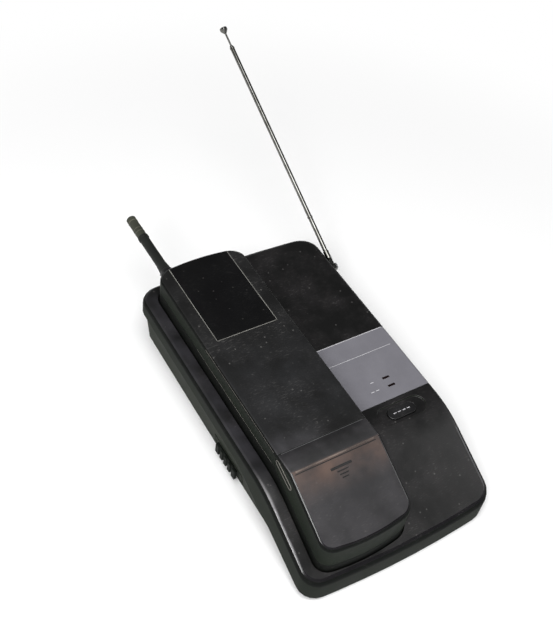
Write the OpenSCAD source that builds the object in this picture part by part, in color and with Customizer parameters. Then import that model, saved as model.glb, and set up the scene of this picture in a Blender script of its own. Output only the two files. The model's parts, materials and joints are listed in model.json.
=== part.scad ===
// Cordless phone: a bent base unit with a charging cradle, its handset lying face down in the cradle,
// a telescopic antenna on the base's right side and a rubber antenna on the handset.
// Millimetres. Z is up, +Y is the rear of the base, the origin is the centre of the base's flat underside.

/* [Base] */
// Width of the base at its widest
base_w = 135; // [131:1:139]
// Length of the base over the middle
base_l = 227; // [223:1:235]
// Height of the level top above the underside
base_h = 43; // [42:1:47]
// Length of the sloping front part of the top
slope_l = 58.5; // [56:0.5:61]
// Downward angle of the sloping front part
slope_angle = 24; // [22:1:25]
// Radius of the bend between the level and the sloping part
bend_r = 60; // [30:1:75]
// How far the long sides draw in at their ends
side_bow = 0.4; // [0:0.1:2]
// How far the front edge draws back at its ends
front_bow = 3; // [1:0.1:4.5]
// How far the rear edge draws in at its ends
rear_bow = 2.5; // [1:0.1:3.5]
// Corner radius at the front, seen from above
front_corner_r = 12; // [11:1:18]
// Corner radius at the rear, seen from above
rear_corner_r = 13; // [12:1:20]
// Rounding of the top edges
top_edge_r = 3; // [2.5:0.5:6]
// Wall thickness of the upper shell
base_wall = 2.4; // [2:0.1:2.6]
// Wall thickness of the lower shell
lower_wall = 1.8; // [1.5:0.1:1.9]
// Height of the upper shell's side wall along the level part
skirt_h = 11; // [10:0.5:13]
// How far the lower shell draws in at the table
draw_in = 7.5; // [5.5:0.5:8]
// How far its rear wall draws in at the table
rear_draw = 1.2; // [1:0.1:1.4]
// Step between the upper and the lower shell at the seam
seam_step = 2; // [1.2:0.1:2.2]
// Thickness of the lower shell's floor
floor_t = 2; // [1.6:0.1:2.4]
// How far the rubber feet stand below the underside
foot_proud = 1; // [0.6:0.1:2]
// Radius of the rubber feet
foot_r = 7; // [5:0.5:8]

/* [Cradle] */
// Width of the level strip on the left of the cradle well
left_strip = 9.5; // [7:0.5:10]
// Distance of the handset's front end behind the base's front
front_rim = 5.5; // [5.5:0.5:9]
// Thickness of the rim behind the cradle well
rear_rim = 6; // [5.8:0.1:7]
// Side clearance between handset and well
well_gap = 0.8; // [0.5:0.1:1.2]
// Wall thickness of the cradle well
tub_wall = 1.4; // [1.2:0.1:1.6]
// Height of the handset's face above the well floor
seat_gap = 0.3; // [0.2:0.05:0.4]
// Thickness of the well floor
well_floor = 4; // [3.6:0.1:4.5]
// Depth of the bay in the well floor that clears the keys
key_bay_depth = 2.2; // [2:0.1:2.5]

/* [Handset] */
// Width of the handset
handset_w = 61.5; // [58:0.5:62]
// Thickness of the handset in its level part
handset_t = 34; // [33:0.5:35]
// How far the handset's back stands above the base's top
handset_proud = 19; // [18:0.5:21]
// Height of the handset's case seam above the base's top
seam_up = 8; // [7:0.5:9]
// How far the handset's ends are bowed
handset_bow = 3; // [1:0.5:4]
// Corner radius at the handset's front end
handset_front_r = 7.5; // [7:0.5:14]
// Corner radius at the handset's rear end
handset_rear_r = 10; // [8:0.5:12]
// Rounding of the handset's back edges
back_edge_r = 1.8; // [1.5:0.1:5]
// Rounding of the handset's face edges
face_edge_r = 4; // [3:0.5:5]
// Wall thickness of the handset shells
handset_wall = 2.2; // [2:0.1:2.4]
// Slope of the handset's face at its front end
face_angle = 17; // [15:0.5:18]

/* [Battery door] */
// Distance of the door's rear seam behind the bend
door_behind = 6; // [5:0.5:7]
// Distance of the door's ridge in front of the bend
ridge_ahead = 8; // [7:0.5:9]
// Height of the door's ridge above the handset's back
ridge_rise = 0.8; // [0.4:0.1:1]
// Slope of the handset's back in front of the ridge
back_slope = 25.5; // [25:0.5:26.5]
// Play between door and handset case
door_play = 0.2; // [0.15:0.05:0.3]

/* [Inlay and label] */
// Width of the inlay panel on the handset's back
inlay_w = 43; // [38:1:44]
// Distance of the inlay's front edge behind the bend
inlay_front = 93; // [88:1:100]
// Thickness of the inlay panel and of the label band
sheet_t = 0.6; // [0.4:0.1:0.9]
// Distance of the label band's front edge behind the bend
label_front = 20.5; // [19:0.5:22]
// Distance of the label band's rear edge behind the bend
label_rear = 72.7; // [68:0.5:78]
// How far the label band reaches down over the right edge
label_down = 6; // [5.5:0.1:7]

/* [Page button and lamps] */
// Distance of the page button from the base's middle
page_x = 38; // [34:0.5:40]
// Distance of the page button behind the bend
page_behind = 10.5; // [10:0.5:11]
// Length of the page button
page_l = 20; // [16:0.5:22]
// Width of the page button
page_w = 8; // [6:0.5:9]
// Travel of the page button
page_travel = 1.2; // [0.8:0.1:1.5]
// Depth of the dish around the page button
dish_depth = 1; // [0.6:0.1:1.2]
// Distance of the lamp windows from the base's middle
lamp_x = 43.5; // [40:0.5:46]
// Length of a lamp window
lamp_l = 5; // [4:0.5:6]
// Width of a lamp window
lamp_w = 1.4; // [1:0.1:2]

/* [Keys] */
// Width of a dial key
key_w = 11; // [9:0.5:11.5]
// Length of a dial key
key_l = 8; // [7:0.5:9]
// Pitch of the key columns
key_pitch_x = 14; // [13.8:0.1:14.4]
// Pitch of the key rows
key_pitch_y = 14; // [13:0.5:14.5]
// How far the keys stand out of the face
key_proud = 1.5; // [1.2:0.1:1.6]
// Travel of a key
key_travel = 1; // [0.6:0.1:1.2]
// Clearance around a key
key_gap = 0.3; // [0.2:0.05:0.4]
// Length of the wide talk key
talk_w = 30; // [26:0.5:32]

/* [Slide knob] */
// Length of the ridged slide knob
knob_l = 24; // [20:0.5:28]
// Height of the slide knob
knob_h = 8; // [7:0.5:9]
// Thickness of the slide knob
knob_t = 2.2; // [2:0.1:3]
// Travel of the slide knob each way
knob_travel = 4; // [3:0.5:5]

/* [Antennas] */
// Outer radius of the telescopic antenna's outer tube
tube_r = 1.6; // [1.5:0.05:2.1]
// Wall thickness of the antenna tubes
tube_wall = 0.35; // [0.3:0.05:0.4]
// Clearance between antenna sections
tube_gap = 0.1; // [0.06:0.01:0.12]
// Length of the outer tube from the pivot
tube_l = 180; // [140:1:200]
// How far the top rod stands out of the tubes
rod_out = 12; // [10:1:20]
// Tilt of the telescopic antenna above the horizontal
antenna_tilt = 26; // [20:1:60]
// Radius of the antenna's tip button
tip_r = 2.8; // [2.2:0.1:3.2]
// Radius of the antenna's pivot pin
pivot_r = 1.25; // [1:0.05:1.5]
// Running clearance of the pivot pin in the antenna's eye
pivot_gap = 0.06; // [0.03:0.01:0.09]
// Radius of the handset's rubber antenna
rubber_r = 3.3; // [3:0.1:3.6]
// Length of the rubber antenna behind the handset
rubber_l = 57; // [45:1:65]

/* [Hidden] */

$fn = 48;
slack = 1;
far = 400;
corner_n = 5;
edge_n = 3;
round_n = 3;
least_round = 0.2;
bow_share = 0.25;

// Where the top bends and where the seam of the base shells falls away
bend_y = -base_l / 2 + slope_l;
bend_start = bend_r * tan(slope_angle / 2);
seam_rise_behind = 33;
seam_knee_ahead = 12;
seam_rise_y = bend_y + seam_rise_behind;
seam_knee_y = bend_y - seam_knee_ahead;
seam_knee_z = 19;
seam_front_z = 0.6;
rear_step = 1;
corner_tuck = 3;
front_foot_inset = base_wall + 0.3;
foot_turn_y = bend_y;
foot_end_y = -base_l / 2 + front_corner_r;
seam_rear_z = base_h - skirt_h;

// Where the handset lies: it fills the base's length between the two rims
handset_l = base_l - front_rim - rear_rim;
handset_x = -base_w / 2 + left_strip + well_gap + handset_w / 2;
handset_y = base_l / 2 - rear_rim - handset_l / 2;
handset_rear = handset_y + handset_l / 2;
handset_front = handset_y - handset_l / 2;
back_z = base_h + handset_proud;
face_z = back_z - handset_t;
face_in_z = face_z + handset_wall;
case_seam_z = base_h + seam_up;
door_y = bend_y + door_behind;
ridge_y = bend_y - ridge_ahead;

// Jacks at the rear
jack_rear_gap = 0.8;
jack_rear = base_l / 2 - rear_draw - lower_wall - jack_rear_gap;
jack_l = 15;
jack_front = jack_rear - jack_l;
jack_sill = 0.6;
line_jack_x = 27;
line_jack_w = 14;
line_jack_h = 16;
line_socket_w = 10;
line_socket_h = 8;
line_socket_up = 4;
line_socket_back = 2;
power_jack_x = -5;
power_jack_w = 11;
power_jack_h = 12;
power_socket_r = 3.1;
power_socket_back = 4;
power_pin_r = 1;
power_pin_short = 2;

// Base insides
board_z = 6;
board_t = 1.6;
board_top = board_z + board_t;
board_w = 84;
board_ahead = 2;
board_jack_gap = 9.2;
board_front = bend_y - board_ahead;
board_rear = jack_front - board_jack_gap;
shield_x = -30;
shield_w = 42;
shield_l = 40;
shield_h = 10;
shield_wall = 0.6;
shield_in = 78;
shield_y = board_rear - shield_in;
standoff_r = 3;
standoff_in = 5;
screw_r = 1.5;
screw_head_r = 3;
screw_boss_r = 5;
screw_boss_top = 6;
screw_seat_z = 4;
screw_top_z = 16;
post_r = 4;
screw_play = 0.1;
screw_rear_side = 16;
screw_rear_in = 17;
screw_front_side = 18;
screw_front_ahead = 20;
base_screw_at = [
    for (side = [-1, 1]) each [
        [side * (base_w / 2 - screw_rear_side), base_l / 2 - screw_rear_in],
        [side * (base_w / 2 - screw_front_side), bend_y - screw_front_ahead]
    ]
];
foot_side = 22;
foot_rear_in = 35;
foot_front_in = 18;
foot_at = [
    for (side = [-1, 1]) each [
        [side * (base_w / 2 - foot_side), base_l / 2 - foot_rear_in],
        [side * (base_w / 2 - foot_side), -base_l / 2 + foot_front_in]
    ]
];
foot_pocket = 1.2;
page_y = bend_y + page_behind;
page_z = base_h - 0.3;
page_flange = 1.5;
page_flange_t = 1.2;
page_flange_gap = 0.3;
page_switch_h = 6;
lamp_phone_behind = 36;
lamp_charge_behind = 29.5;
lamp_phone_y = bend_y + lamp_phone_behind;
lamp_charge_y = bend_y + lamp_charge_behind;
lamp_body_h = 5;
label_gap = 0.8;
label_left = handset_x + handset_w / 2 + well_gap + label_gap;

// Slide knob
knob_behind = 44.5;
knob_y = bend_y + knob_behind;
knob_z = 8.5;
knob_wall_x = -base_w / 2 + lower_inset(knob_y, knob_z + knob_h / 2);
knob_in_x = knob_wall_x - 0.3;
knob_neck_l = 12;
knob_neck_h = 2.4;
knob_teeth = 5;
knob_flange_x = -base_w / 2 + lower_inset(knob_y, knob_z - knob_neck_h) + lower_wall + 0.3;
knob_flange_t = 1;

// Charge contacts between base and handset
contact_spread = 12;
contact_ahead = 20;
contact_y = bend_y - contact_ahead;
contact_r = 2;
contact_pad_r = 3;
contact_play = 0.3;
contact_flange_r = 3.6;
pad_t = handset_wall * cos(face_angle) + 0.6;

// Telescopic antenna
pivot_out = 2.6;
pivot_in = 9;
pivot_ahead = 31;
pivot_drop = 7.2;
pivot_x = base_w / 2 + pivot_out;
pivot_y = base_l / 2 - pivot_ahead;
pivot_z = base_h - pivot_drop;
eye_r = 3.2;
eye_t = 2.6;
eye_pad_gap = 0.3;
eye_head_gap = 0.25;
pivot_pad_r = 3.6;
pivot_pad_x = pivot_x - eye_t / 2 - eye_pad_gap;
pivot_boss_x = base_w / 2 - pivot_in;
pivot_head_r = 2.6;
pivot_head_t = 1.2;
pivot_head_x = pivot_x + eye_t / 2 + eye_head_gap;
tube_start = 6;
middle_r = tube_r - tube_wall - tube_gap;
rod_r = middle_r - tube_wall - tube_gap;
bore_start = 8;
middle_start = 9;
rod_start = 11;
tip_h = 4;

// Handset insides
key_face_z = face_z - key_proud;
key_flange = 1;
key_flange_t = 1;
mat_t = 1.5;
mat_z = face_in_z + 0.1 + key_flange_t + key_travel + 0.3;
mat_half_w = key_pitch_x + key_w / 2 + 0.5;
hs_board_z = mat_z + mat_t;
hs_board_w = 50;
hs_board_l = 107.5;
hs_board_in = 42.5;
hs_board_rear = handset_rear - hs_board_in;
hs_board_front = hs_board_rear - hs_board_l;
hs_post_r = 2.2;
hs_post_side = 2.3;
hs_post_x = hs_board_w / 2 - hs_post_side;
hs_post_front = 5;
hs_post_rear = 4.5;
hs_post_at = [hs_board_front + hs_post_front, hs_board_rear - hs_post_rear];
hs_screw_r = 1;
hs_screw_head_r = 2;
row_0_in = 128;
function_row_in = 69;
talk_row_in = 52.5;
row_0_y = handset_rear - row_0_in;
function_row_y = handset_rear - function_row_in;
talk_row_y = handset_rear - talk_row_in;
talk_l = 9;
bay_side = 3;
bay_half_w = mat_half_w + bay_side;
earpiece_r = 17;
earpiece_h = 8;
earpiece_in = 24;
earpiece_y = handset_rear - earpiece_in;
earpiece_rib = 1.2;
earpiece_play = 0.2;
sound_slot_l = 20;
sound_slot_w = 1.8;
sound_slot_pitch = 4;
mic_r = 4.8;
mic_h = 5;
mic_in = 10;
mic_y = handset_front + mic_in;
buzzer_r = 11;
buzzer_h = 5;
buzzer_in = 70;
buzzer_y = handset_rear - buzzer_in;
tray_t = 1.6;
tray_drop = 2.8;
tray_in = 12.5;
tray_front = handset_front + tray_in;
tray_door_gap = 1;
tray_rear = door_y - tray_door_gap;
rail_t = 1.5;
rail_h = 2;
cell_r = 7;
cell_l = 48;
cell_pitch = 13.4;
cell_in = 13.8;
cell_front_y = handset_front + cell_in;
socket_side = 10;
socket_up = 12.5;
socket_x = handset_x - handset_w / 2 + socket_side;
socket_z = base_h + socket_up;
socket_r = 4.6;
socket_play = 0.1;
socket_in = 6;
socket_out = 1.5;
rubber_end_y = handset_rear + rubber_l;
rubber_cap_l = 20;

// Formulas for the curved surfaces
function lerp(a, b, t) = a + (b - a) * t;
function ease(t) = t * t * (3 - 2 * t);
function clamped(t) = min(max(t, 0), 1);

// Height of the base's top at y
function base_top(y) =
    let (arc_y = bend_y + bend_start)
    y >= arc_y ? base_h
    : y >= arc_y - bend_r * sin(slope_angle) ? base_h - bend_r + sqrt(bend_r * bend_r - pow(arc_y - y, 2))
    : base_h - (bend_y - y) * tan(slope_angle);

// Height of the seam between the base's shells at y
function base_seam(y) =
    y >= seam_rise_y ? seam_rear_z
    : y >= seam_knee_y
        ? lerp(seam_knee_z, seam_rear_z, ease((y - seam_knee_y) / (seam_rise_y - seam_knee_y)))
    : lerp(seam_front_z, seam_knee_z, (y + base_l / 2) / (seam_knee_y + base_l / 2));

// How far the lower shell lies inside the base's outline at y and height z
function lower_inset(y, z) =
    let (turn_y = base_l / 2 - rear_corner_r)
    let (to_rear = clamped((y - turn_y) / (rear_corner_r - rear_bow)))
    let (to_front = clamped((foot_turn_y - y) / (foot_turn_y - foot_end_y)))
    let (side_foot = lerp(draw_in, rear_draw, pow(to_rear, corner_tuck)))
    let (at_foot = lerp(side_foot, front_foot_inset, ease(to_front)))
    let (at_seam = lerp(seam_step, rear_step, to_rear))
    lerp(at_foot, at_seam, clamped(z / base_seam(y)));

// Heights of the handset's back, case seam and face at y
function handset_back(y) =
    y >= door_y ? back_z
    : y >= ridge_y ? back_z + ridge_rise * (door_y - y) / (door_y - ridge_y)
    : back_z + ridge_rise - (ridge_y - y) * tan(back_slope);
function handset_seam(y) = y >= door_y ? case_seam_z : case_seam_z - (door_y - y) * tan(slope_angle);
function handset_face(y) = y >= bend_y ? face_z : face_z - (bend_y - y) * tan(face_angle);

// Right half of a rounded outline, front to rear, with half sizes x and y, corner radii f and r
// and the given side stations
function half_outline(x, y, f, r, stations) = concat(
    [for (k = [0 : edge_n - 1]) [(x - f) * (k + 0.5) / edge_n, -y]],
    [for (k = [0 : corner_n]) [x - f + f * sin(90 * k / corner_n), -y + f - f * cos(90 * k / corner_n)]],
    [for (s = stations) [x, s]],
    [for (k = [0 : corner_n]) [x - r + r * cos(90 * k / corner_n), y - r + r * sin(90 * k / corner_n)]],
    [for (k = [0 : edge_n - 1]) [(x - r) * (1 - (k + 0.5) / edge_n), y]]
);

// The same point with bowed sides and ends
function bowed(p, x, y, side, front, rear) = [
    p.x - p.x / x * side * pow(p.y / y, 2),
    p.y - sign(p.y) * (p.y < 0 ? front : rear) * pow(p.x / x, 2)
        * pow(max(abs(p.y / y) - 1 + bow_share, 0) / bow_share, 2)
];

// Whole outline from its right half
function both_halves(half) = concat(
    half,
    [for (k = [len(half) - 1 : -1 : 0]) [-half[k].x, half[k].y]]
);

base_stations = concat(
    [for (k = [1 : 2]) lerp(-base_l / 2 + front_corner_r, seam_knee_y, k / 3)],
    [for (k = [0 : 9]) lerp(seam_knee_y, seam_rise_y, k / 9)],
    [for (k = [1 : 3]) lerp(seam_rise_y, base_l / 2 - rear_corner_r, k / 4)]
);

// Outline of the base, drawn in by i
function base_outline(i) =
    let (x = base_w / 2 - i, y = base_l / 2 - i)
    both_halves([
        for (p = half_outline(x, y, front_corner_r - i, rear_corner_r - i, base_stations))
            bowed(p, x, y, side_bow, front_bow, rear_bow)
    ]);

handset_front_corner = handset_y - handset_l / 2 + handset_front_r;
handset_stations = concat(
    [for (k = [1 : 2]) lerp(handset_front_corner, ridge_y, k / 3)],
    [ridge_y, bend_y, door_y],
    [for (k = [1 : 3]) lerp(door_y, handset_rear - handset_rear_r, k / 4)]
);

// Outline of the handset where it lies, drawn in by i
function handset_outline(i) =
    let (x = handset_w / 2 - i, y = handset_l / 2 - i)
    let (local = [for (s = handset_stations) s - handset_y])
    [
        for (p = both_halves([
            for (q = half_outline(x, y, handset_front_r - i, handset_rear_r - i, local))
                bowed(q, x, y, 0, handset_bow, handset_bow)
        ])) [p.x + handset_x, p.y + handset_y]
    ];

// A closed solid through rings of equal count, lowest first
module loft(rings) {
    n = len(rings[0]);
    last = (len(rings) - 1) * n;
    half = n / 2;
    sides = [
        for (r = [0 : len(rings) - 2]) for (k = [0 : n - 1])
            let (a = r * n + k, b = r * n + (k + 1) % n, c = b + n, d = a + n)
            each [[a, d, c], [a, c, b]]
    ];
    bottom = [
        for (k = [0 : half - 2]) each [[k, k + 1, n - 2 - k], [k, n - 2 - k, n - 1 - k]]
    ];
    top = [
        for (k = [0 : half - 2])
            each [[last + k, last + n - 2 - k, last + k + 1], [last + k, last + n - 1 - k, last + n - 2 - k]]
    ];
    polyhedron(points = [for (r = rings) each r], faces = concat(sides, bottom, top), convexity = 8);
}

// Upper body of the base: drawn in by i, its top lowered by the same, its underside moved by low
module base_body(i, low) {
    r = max(top_edge_r - i, least_round);
    bottom = [for (p = base_outline(i)) [p.x, p.y, base_seam(p.y) + low]];
    rounding = [
        for (k = [0 : round_n])
            [for (p = base_outline(i + r * (1 - cos(90 * k / round_n))))
                [p.x, p.y, base_top(p.y) - i - r * (1 - sin(90 * k / round_n))]]
    ];
    loft(concat([bottom], rounding));
}

// Lower body of the base: drawn in by i, from height z up to the seam and on by high
module lower_body(i, z, high) {
    plain = base_outline(0);
    foot_ring = [
        for (k = [0 : len(plain) - 1])
            let (p = base_outline(lower_inset(plain[k].y, z) + i)[k])
            [p.x, p.y, z]
    ];
    seam_ring = [
        for (k = [0 : len(plain) - 1])
            let (s = base_seam(plain[k].y))
            let (p = base_outline(lower_inset(plain[k].y, s) + i)[k])
            [p.x, p.y, max(s + high, z + 0.4)]
    ];
    loft([foot_ring, seam_ring]);
}

// Space over the well floor, grown by g beyond the handset, its floor lowered by deep
module well_body(g, deep) {
    ring = handset_outline(-g);
    loft([
        [for (p = ring) [p.x, p.y, handset_face(p.y) - deep]],
        [for (p = ring) [p.x, p.y, back_z]]
    ]);
}

// Part of the handset above its case seam: drawn in by i, its underside moved by low
module handset_upper(i, low) {
    r = max(back_edge_r - i, least_round);
    bottom = [for (p = handset_outline(i)) [p.x, p.y, handset_seam(p.y) + low]];
    rounding = [
        for (k = [0 : round_n])
            [for (p = handset_outline(i + r * (1 - cos(90 * k / round_n))))
                [p.x, p.y, handset_back(p.y) - i - r * (1 - sin(90 * k / round_n))]]
    ];
    loft(concat([bottom], rounding));
}

// Part of the handset below its case seam: drawn in by i, its top moved by high
module handset_lower(i, high) {
    r = face_edge_r - i;
    rounding = [
        for (k = [round_n : -1 : 0])
            [for (p = handset_outline(i + r * (1 - cos(90 * k / round_n))))
                [p.x, p.y, handset_face(p.y) + i + r * (1 - sin(90 * k / round_n))]]
    ];
    top = [for (p = handset_outline(i)) [p.x, p.y, handset_seam(p.y) + high]];
    loft(concat(rounding, [top]));
}

// Small shapes used more than once
module oblong(l, w, h) {
    translate([-(l - w) / 2, -w / 2, 0]) cube([l - w, w, h]);
    for (side = [-1, 1]) translate([side * (l - w) / 2, 0, 0]) cylinder(r = w / 2, h = h);
}

module rounded_plate(w, l, h, r) {
    translate([-w / 2 + r, -l / 2, 0]) cube([w - 2 * r, l, h]);
    translate([-w / 2, -l / 2 + r, 0]) cube([w, l - 2 * r, h]);
    for (x = [-1, 1]) for (y = [-1, 1])
        translate([x * (w / 2 - r), y * (l / 2 - r), 0]) cylinder(r = r, h = h);
}

module block(x, y, z) {
    translate([x[0], y[0], z[0]]) cube([x[1] - x[0], y[1] - y[0], z[1] - z[0]]);
}

// Children placed square to the handset's sloping face, at the charge contacts
module at_contact(side) {
    translate([handset_x + side * contact_spread, contact_y, handset_face(contact_y)])
        rotate([face_angle, 0, 0]) children();
}

// Children placed with Z along the telescopic antenna
module along_antenna() {
    translate([pivot_x, pivot_y, pivot_z]) rotate([antenna_tilt - 90, 0, 0]) children();
}

// Children with Z along the pivot pin
module along_pivot(x) {
    translate([x, pivot_y, pivot_z]) rotate([0, 90, 0]) children();
}

// Base
module label_zone(play) {
    block(
        [label_left + play, base_w],
        [bend_y + label_front + play, bend_y + label_rear - play],
        [base_h - label_down + play, far]
    );
}

module lamp_slot(y, play, z) {
    translate([lamp_x, y, z]) cube([lamp_l + 2 * play, lamp_w + 2 * play, far], center = true);
}

module base_upper_shell() {
    color("#1b1b1c") difference() {
        union() {
            difference() {
                base_body(0, 0);
                base_body(base_wall, -slack);
            }
            intersection() {
                base_body(0, -seam_rear_z);
                union() {
                    well_body(well_gap + tub_wall, seat_gap + well_floor);
                    for (at = base_screw_at)
                        translate([at.x, at.y, screw_boss_top + screw_play]) cylinder(r = post_r, h = base_h);
                }
            }
            along_pivot(pivot_boss_x) cylinder(r = pivot_pad_r, h = pivot_pad_x - pivot_boss_x);
        }
        well_body(well_gap, seat_gap);
        block(
            [handset_x - bay_half_w, handset_x + bay_half_w],
            [row_0_y - key_l, talk_row_y + talk_l],
            [face_z - seat_gap - key_bay_depth, base_h]
        );
        for (at = base_screw_at)
            translate([at.x, at.y, 0]) cylinder(r = screw_r + screw_play, h = screw_top_z + slack);
        difference() {
            label_zone(0);
            base_body(sheet_t, -slack);
        }
        for (y = [lamp_phone_y, lamp_charge_y]) lamp_slot(y, 0.1, base_h + far / 2 - 8);
        translate([page_x, page_y, base_h - dish_depth])
            oblong(page_l + 15, page_w + 5, far);
        translate([page_x, page_y, base_h - 8])
            oblong(page_l + 2 * key_gap, page_w + 2 * key_gap, far);
        for (side = [-1, 1])
            at_contact(side) translate([0, 0, -well_floor * 2])
                cylinder(r = contact_r + contact_play, h = well_floor * 2 + slack);
        along_pivot(pivot_boss_x - slack) cylinder(r = pivot_r + 0.02, h = far);
    }
}

module base_lower_shell() {
    color("#161617") difference() {
        union() {
            difference() {
                lower_body(0, 0, 0);
                lower_body(lower_wall, floor_t, slack);
            }
            for (at = base_screw_at) translate([at.x, at.y, 0]) cylinder(r = screw_boss_r, h = screw_boss_top);
            for (x = [-1, 1]) for (y = [board_front + standoff_in, board_rear - standoff_in])
                translate([x * (board_w / 2 - standoff_in), y, floor_t / 2])
                    cylinder(r = standoff_r, h = board_z - floor_t / 2);
        }
        for (at = base_screw_at) translate([at.x, at.y, 0]) {
            translate([0, 0, -slack]) cylinder(r = screw_head_r + 0.3, h = screw_seat_z + slack);
            cylinder(r = screw_r + screw_play, h = screw_boss_top + slack);
        }
        for (at = foot_at) translate([at.x, at.y, -slack]) cylinder(r = foot_r + 0.1, h = foot_pocket + slack);
        block(
            [line_jack_x - line_jack_w / 2 - 0.2, line_jack_x + line_jack_w / 2 + 0.2],
            [jack_rear - 2 * base_wall, far],
            [floor_t + jack_sill, floor_t + line_jack_h + 0.2]
        );
        block(
            [power_jack_x - power_jack_w / 2 - 0.2, power_jack_x + power_jack_w / 2 + 0.2],
            [jack_rear - 2 * base_wall, far],
            [floor_t + jack_sill, floor_t + power_jack_h + 0.2]
        );
        block(
            [-base_w, knob_flange_x],
            [knob_y - knob_neck_l / 2 - knob_travel - 0.3, knob_y + knob_neck_l / 2 + knob_travel + 0.3],
            [knob_z - knob_neck_h / 2 - 0.3, knob_z + knob_neck_h / 2 + 0.3]
        );
    }
}

module label_band() {
    color("#5b585e") difference() {
        intersection() {
            base_body(0, 0);
            label_zone(0.1);
        }
        base_body(sheet_t, -slack);
        for (y = [lamp_phone_y, lamp_charge_y]) lamp_slot(y, 0.1, base_h);
    }
}

module lamp_window(y) {
    block(
        [lamp_x - lamp_l / 2, lamp_x + lamp_l / 2],
        [y - lamp_w / 2, y + lamp_w / 2],
        [board_top + lamp_body_h + 0.2, base_h]
    );
}

module lamp_window_phone() {
    color("#3c1010") lamp_window(lamp_phone_y);
}

module lamp_window_charge() {
    color("#3c1010") lamp_window(lamp_charge_y);
}

module lamps() {
    color("#b03030") for (y = [lamp_phone_y, lamp_charge_y])
        translate([lamp_x - 4, y, board_top]) {
            block([0, 8], [-2.2, 2.2], [0, lamp_body_h]);
        }
}

module page_button() {
    flange_front = page_y - page_w / 2 - page_flange;
    flange_top = base_top(flange_front) - base_wall - page_flange_gap;
    stem_bottom = board_top + page_switch_h + page_travel + 0.2;
    color("#202022") translate([page_x, page_y, 0]) {
        translate([0, 0, flange_top - page_flange_t])
            oblong(page_l + 2 * page_flange, page_w + 2 * page_flange, page_flange_t);
        translate([0, 0, flange_top - page_flange_t]) oblong(page_l, page_w, page_z - flange_top + page_flange_t);
        translate([0, 0, stem_bottom]) cylinder(r = 2, h = flange_top - stem_bottom);
    }
}

module page_switch() {
    color("#303032") translate([page_x, page_y, board_top]) {
        block([-3, 3], [-3, 3], [0, page_switch_h - 1.5]);
        cylinder(r = 1.7, h = page_switch_h);
    }
}

module base_circuit_board() {
    color("#2f5d3a") block([-board_w / 2, board_w / 2], [board_front, board_rear], [board_z, board_top]);
}

module radio_shield() {
    color("#b9bcc0") difference() {
        block([shield_x, shield_x + shield_w], [shield_y, shield_y + shield_l], [board_top, board_top + shield_h]);
        block(
            [shield_x + shield_wall, shield_x + shield_w - shield_wall],
            [shield_y + shield_wall, shield_y + shield_l - shield_wall],
            [board_top - slack, board_top + shield_h - shield_wall]
        );
    }
}

module charge_contact(side) {
    floor_along = (well_floor + seat_gap) * cos(face_angle);
    at_contact(side) {
        translate([0, 0, -floor_along - 1.2]) cylinder(r = contact_r, h = floor_along + 1.05);
        translate([0, 0, -floor_along - 1.2]) cylinder(r = contact_flange_r, h = 1);
        translate([0, 0, -floor_along - 4]) cylinder(r = contact_r / 2, h = 3);
    }
}

module charge_contact_left() {
    color("#c9a24a") charge_contact(-1);
}

module charge_contact_right() {
    color("#c9a24a") charge_contact(1);
}

module line_jack() {
    color("#1a1a1a") difference() {
        block(
            [line_jack_x - line_jack_w / 2, line_jack_x + line_jack_w / 2],
            [jack_front, jack_rear],
            [floor_t, floor_t + line_jack_h]
        );
        block(
            [line_jack_x - line_socket_w / 2, line_jack_x + line_socket_w / 2],
            [jack_front + line_socket_back, far],
            [floor_t + line_socket_up, floor_t + line_socket_up + line_socket_h]
        );
    }
}

module power_jack() {
    color("#1a1a1a") difference() {
        block(
            [power_jack_x - power_jack_w / 2, power_jack_x + power_jack_w / 2],
            [jack_front, jack_rear],
            [floor_t, floor_t + power_jack_h]
        );
        translate([power_jack_x, jack_front + power_socket_back, floor_t + power_jack_h / 2]) rotate([-90, 0, 0])
            difference() {
                cylinder(r = power_socket_r, h = far);
                cylinder(r = power_pin_r, h = jack_l - power_socket_back - power_pin_short);
            }
    }
}

module slide_knob() {
    pitch = knob_l / knob_teeth;
    color("#18181a") {
        difference() {
            block(
                [knob_in_x - knob_t, knob_in_x],
                [knob_y - knob_l / 2, knob_y + knob_l / 2],
                [knob_z - knob_h / 2, knob_z + knob_h / 2]
            );
            for (k = [1 : knob_teeth - 1])
                block(
                    [-base_w, knob_in_x - knob_t / 2],
                    [knob_y - knob_l / 2 + k * pitch - 0.9, knob_y - knob_l / 2 + k * pitch + 0.9],
                    [-far, far]
                );
        }
        block(
            [knob_in_x - knob_t / 4, knob_flange_x + knob_flange_t],
            [knob_y - knob_neck_l / 2, knob_y + knob_neck_l / 2],
            [knob_z - knob_neck_h / 2, knob_z + knob_neck_h / 2]
        );
        block(
            [knob_flange_x, knob_flange_x + knob_flange_t],
            [knob_y - knob_neck_l / 2, knob_y + knob_neck_l / 2],
            [knob_z - knob_neck_h, knob_z + knob_neck_h]
        );
    }
}

module slide_switch() {
    switch_x = knob_flange_x + knob_flange_t + 0.3;
    color("#8f9296") block([switch_x, switch_x + 7], [knob_y - 9, knob_y + 9], [floor_t, knob_z + 5]);
}

module rubber_feet() {
    color("#101010") for (at = foot_at)
        translate([at.x, at.y, -foot_proud]) cylinder(r = foot_r, h = foot_proud + foot_pocket);
}

module base_screws() {
    color("#a9abad") for (at = base_screw_at) translate([at.x, at.y, 0]) {
        difference() {
            translate([0, 0, screw_seat_z - 2]) cylinder(r = screw_head_r, h = 2);
            translate([0, 0, screw_seat_z - 2]) block([-2.2, 2.2], [-0.4, 0.4], [-slack, 0.9]);
            translate([0, 0, screw_seat_z - 2]) block([-0.4, 0.4], [-2.2, 2.2], [-slack, 0.9]);
        }
        translate([0, 0, screw_seat_z - 0.5]) cylinder(r = screw_r, h = screw_top_z - screw_seat_z);
    }
}

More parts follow.
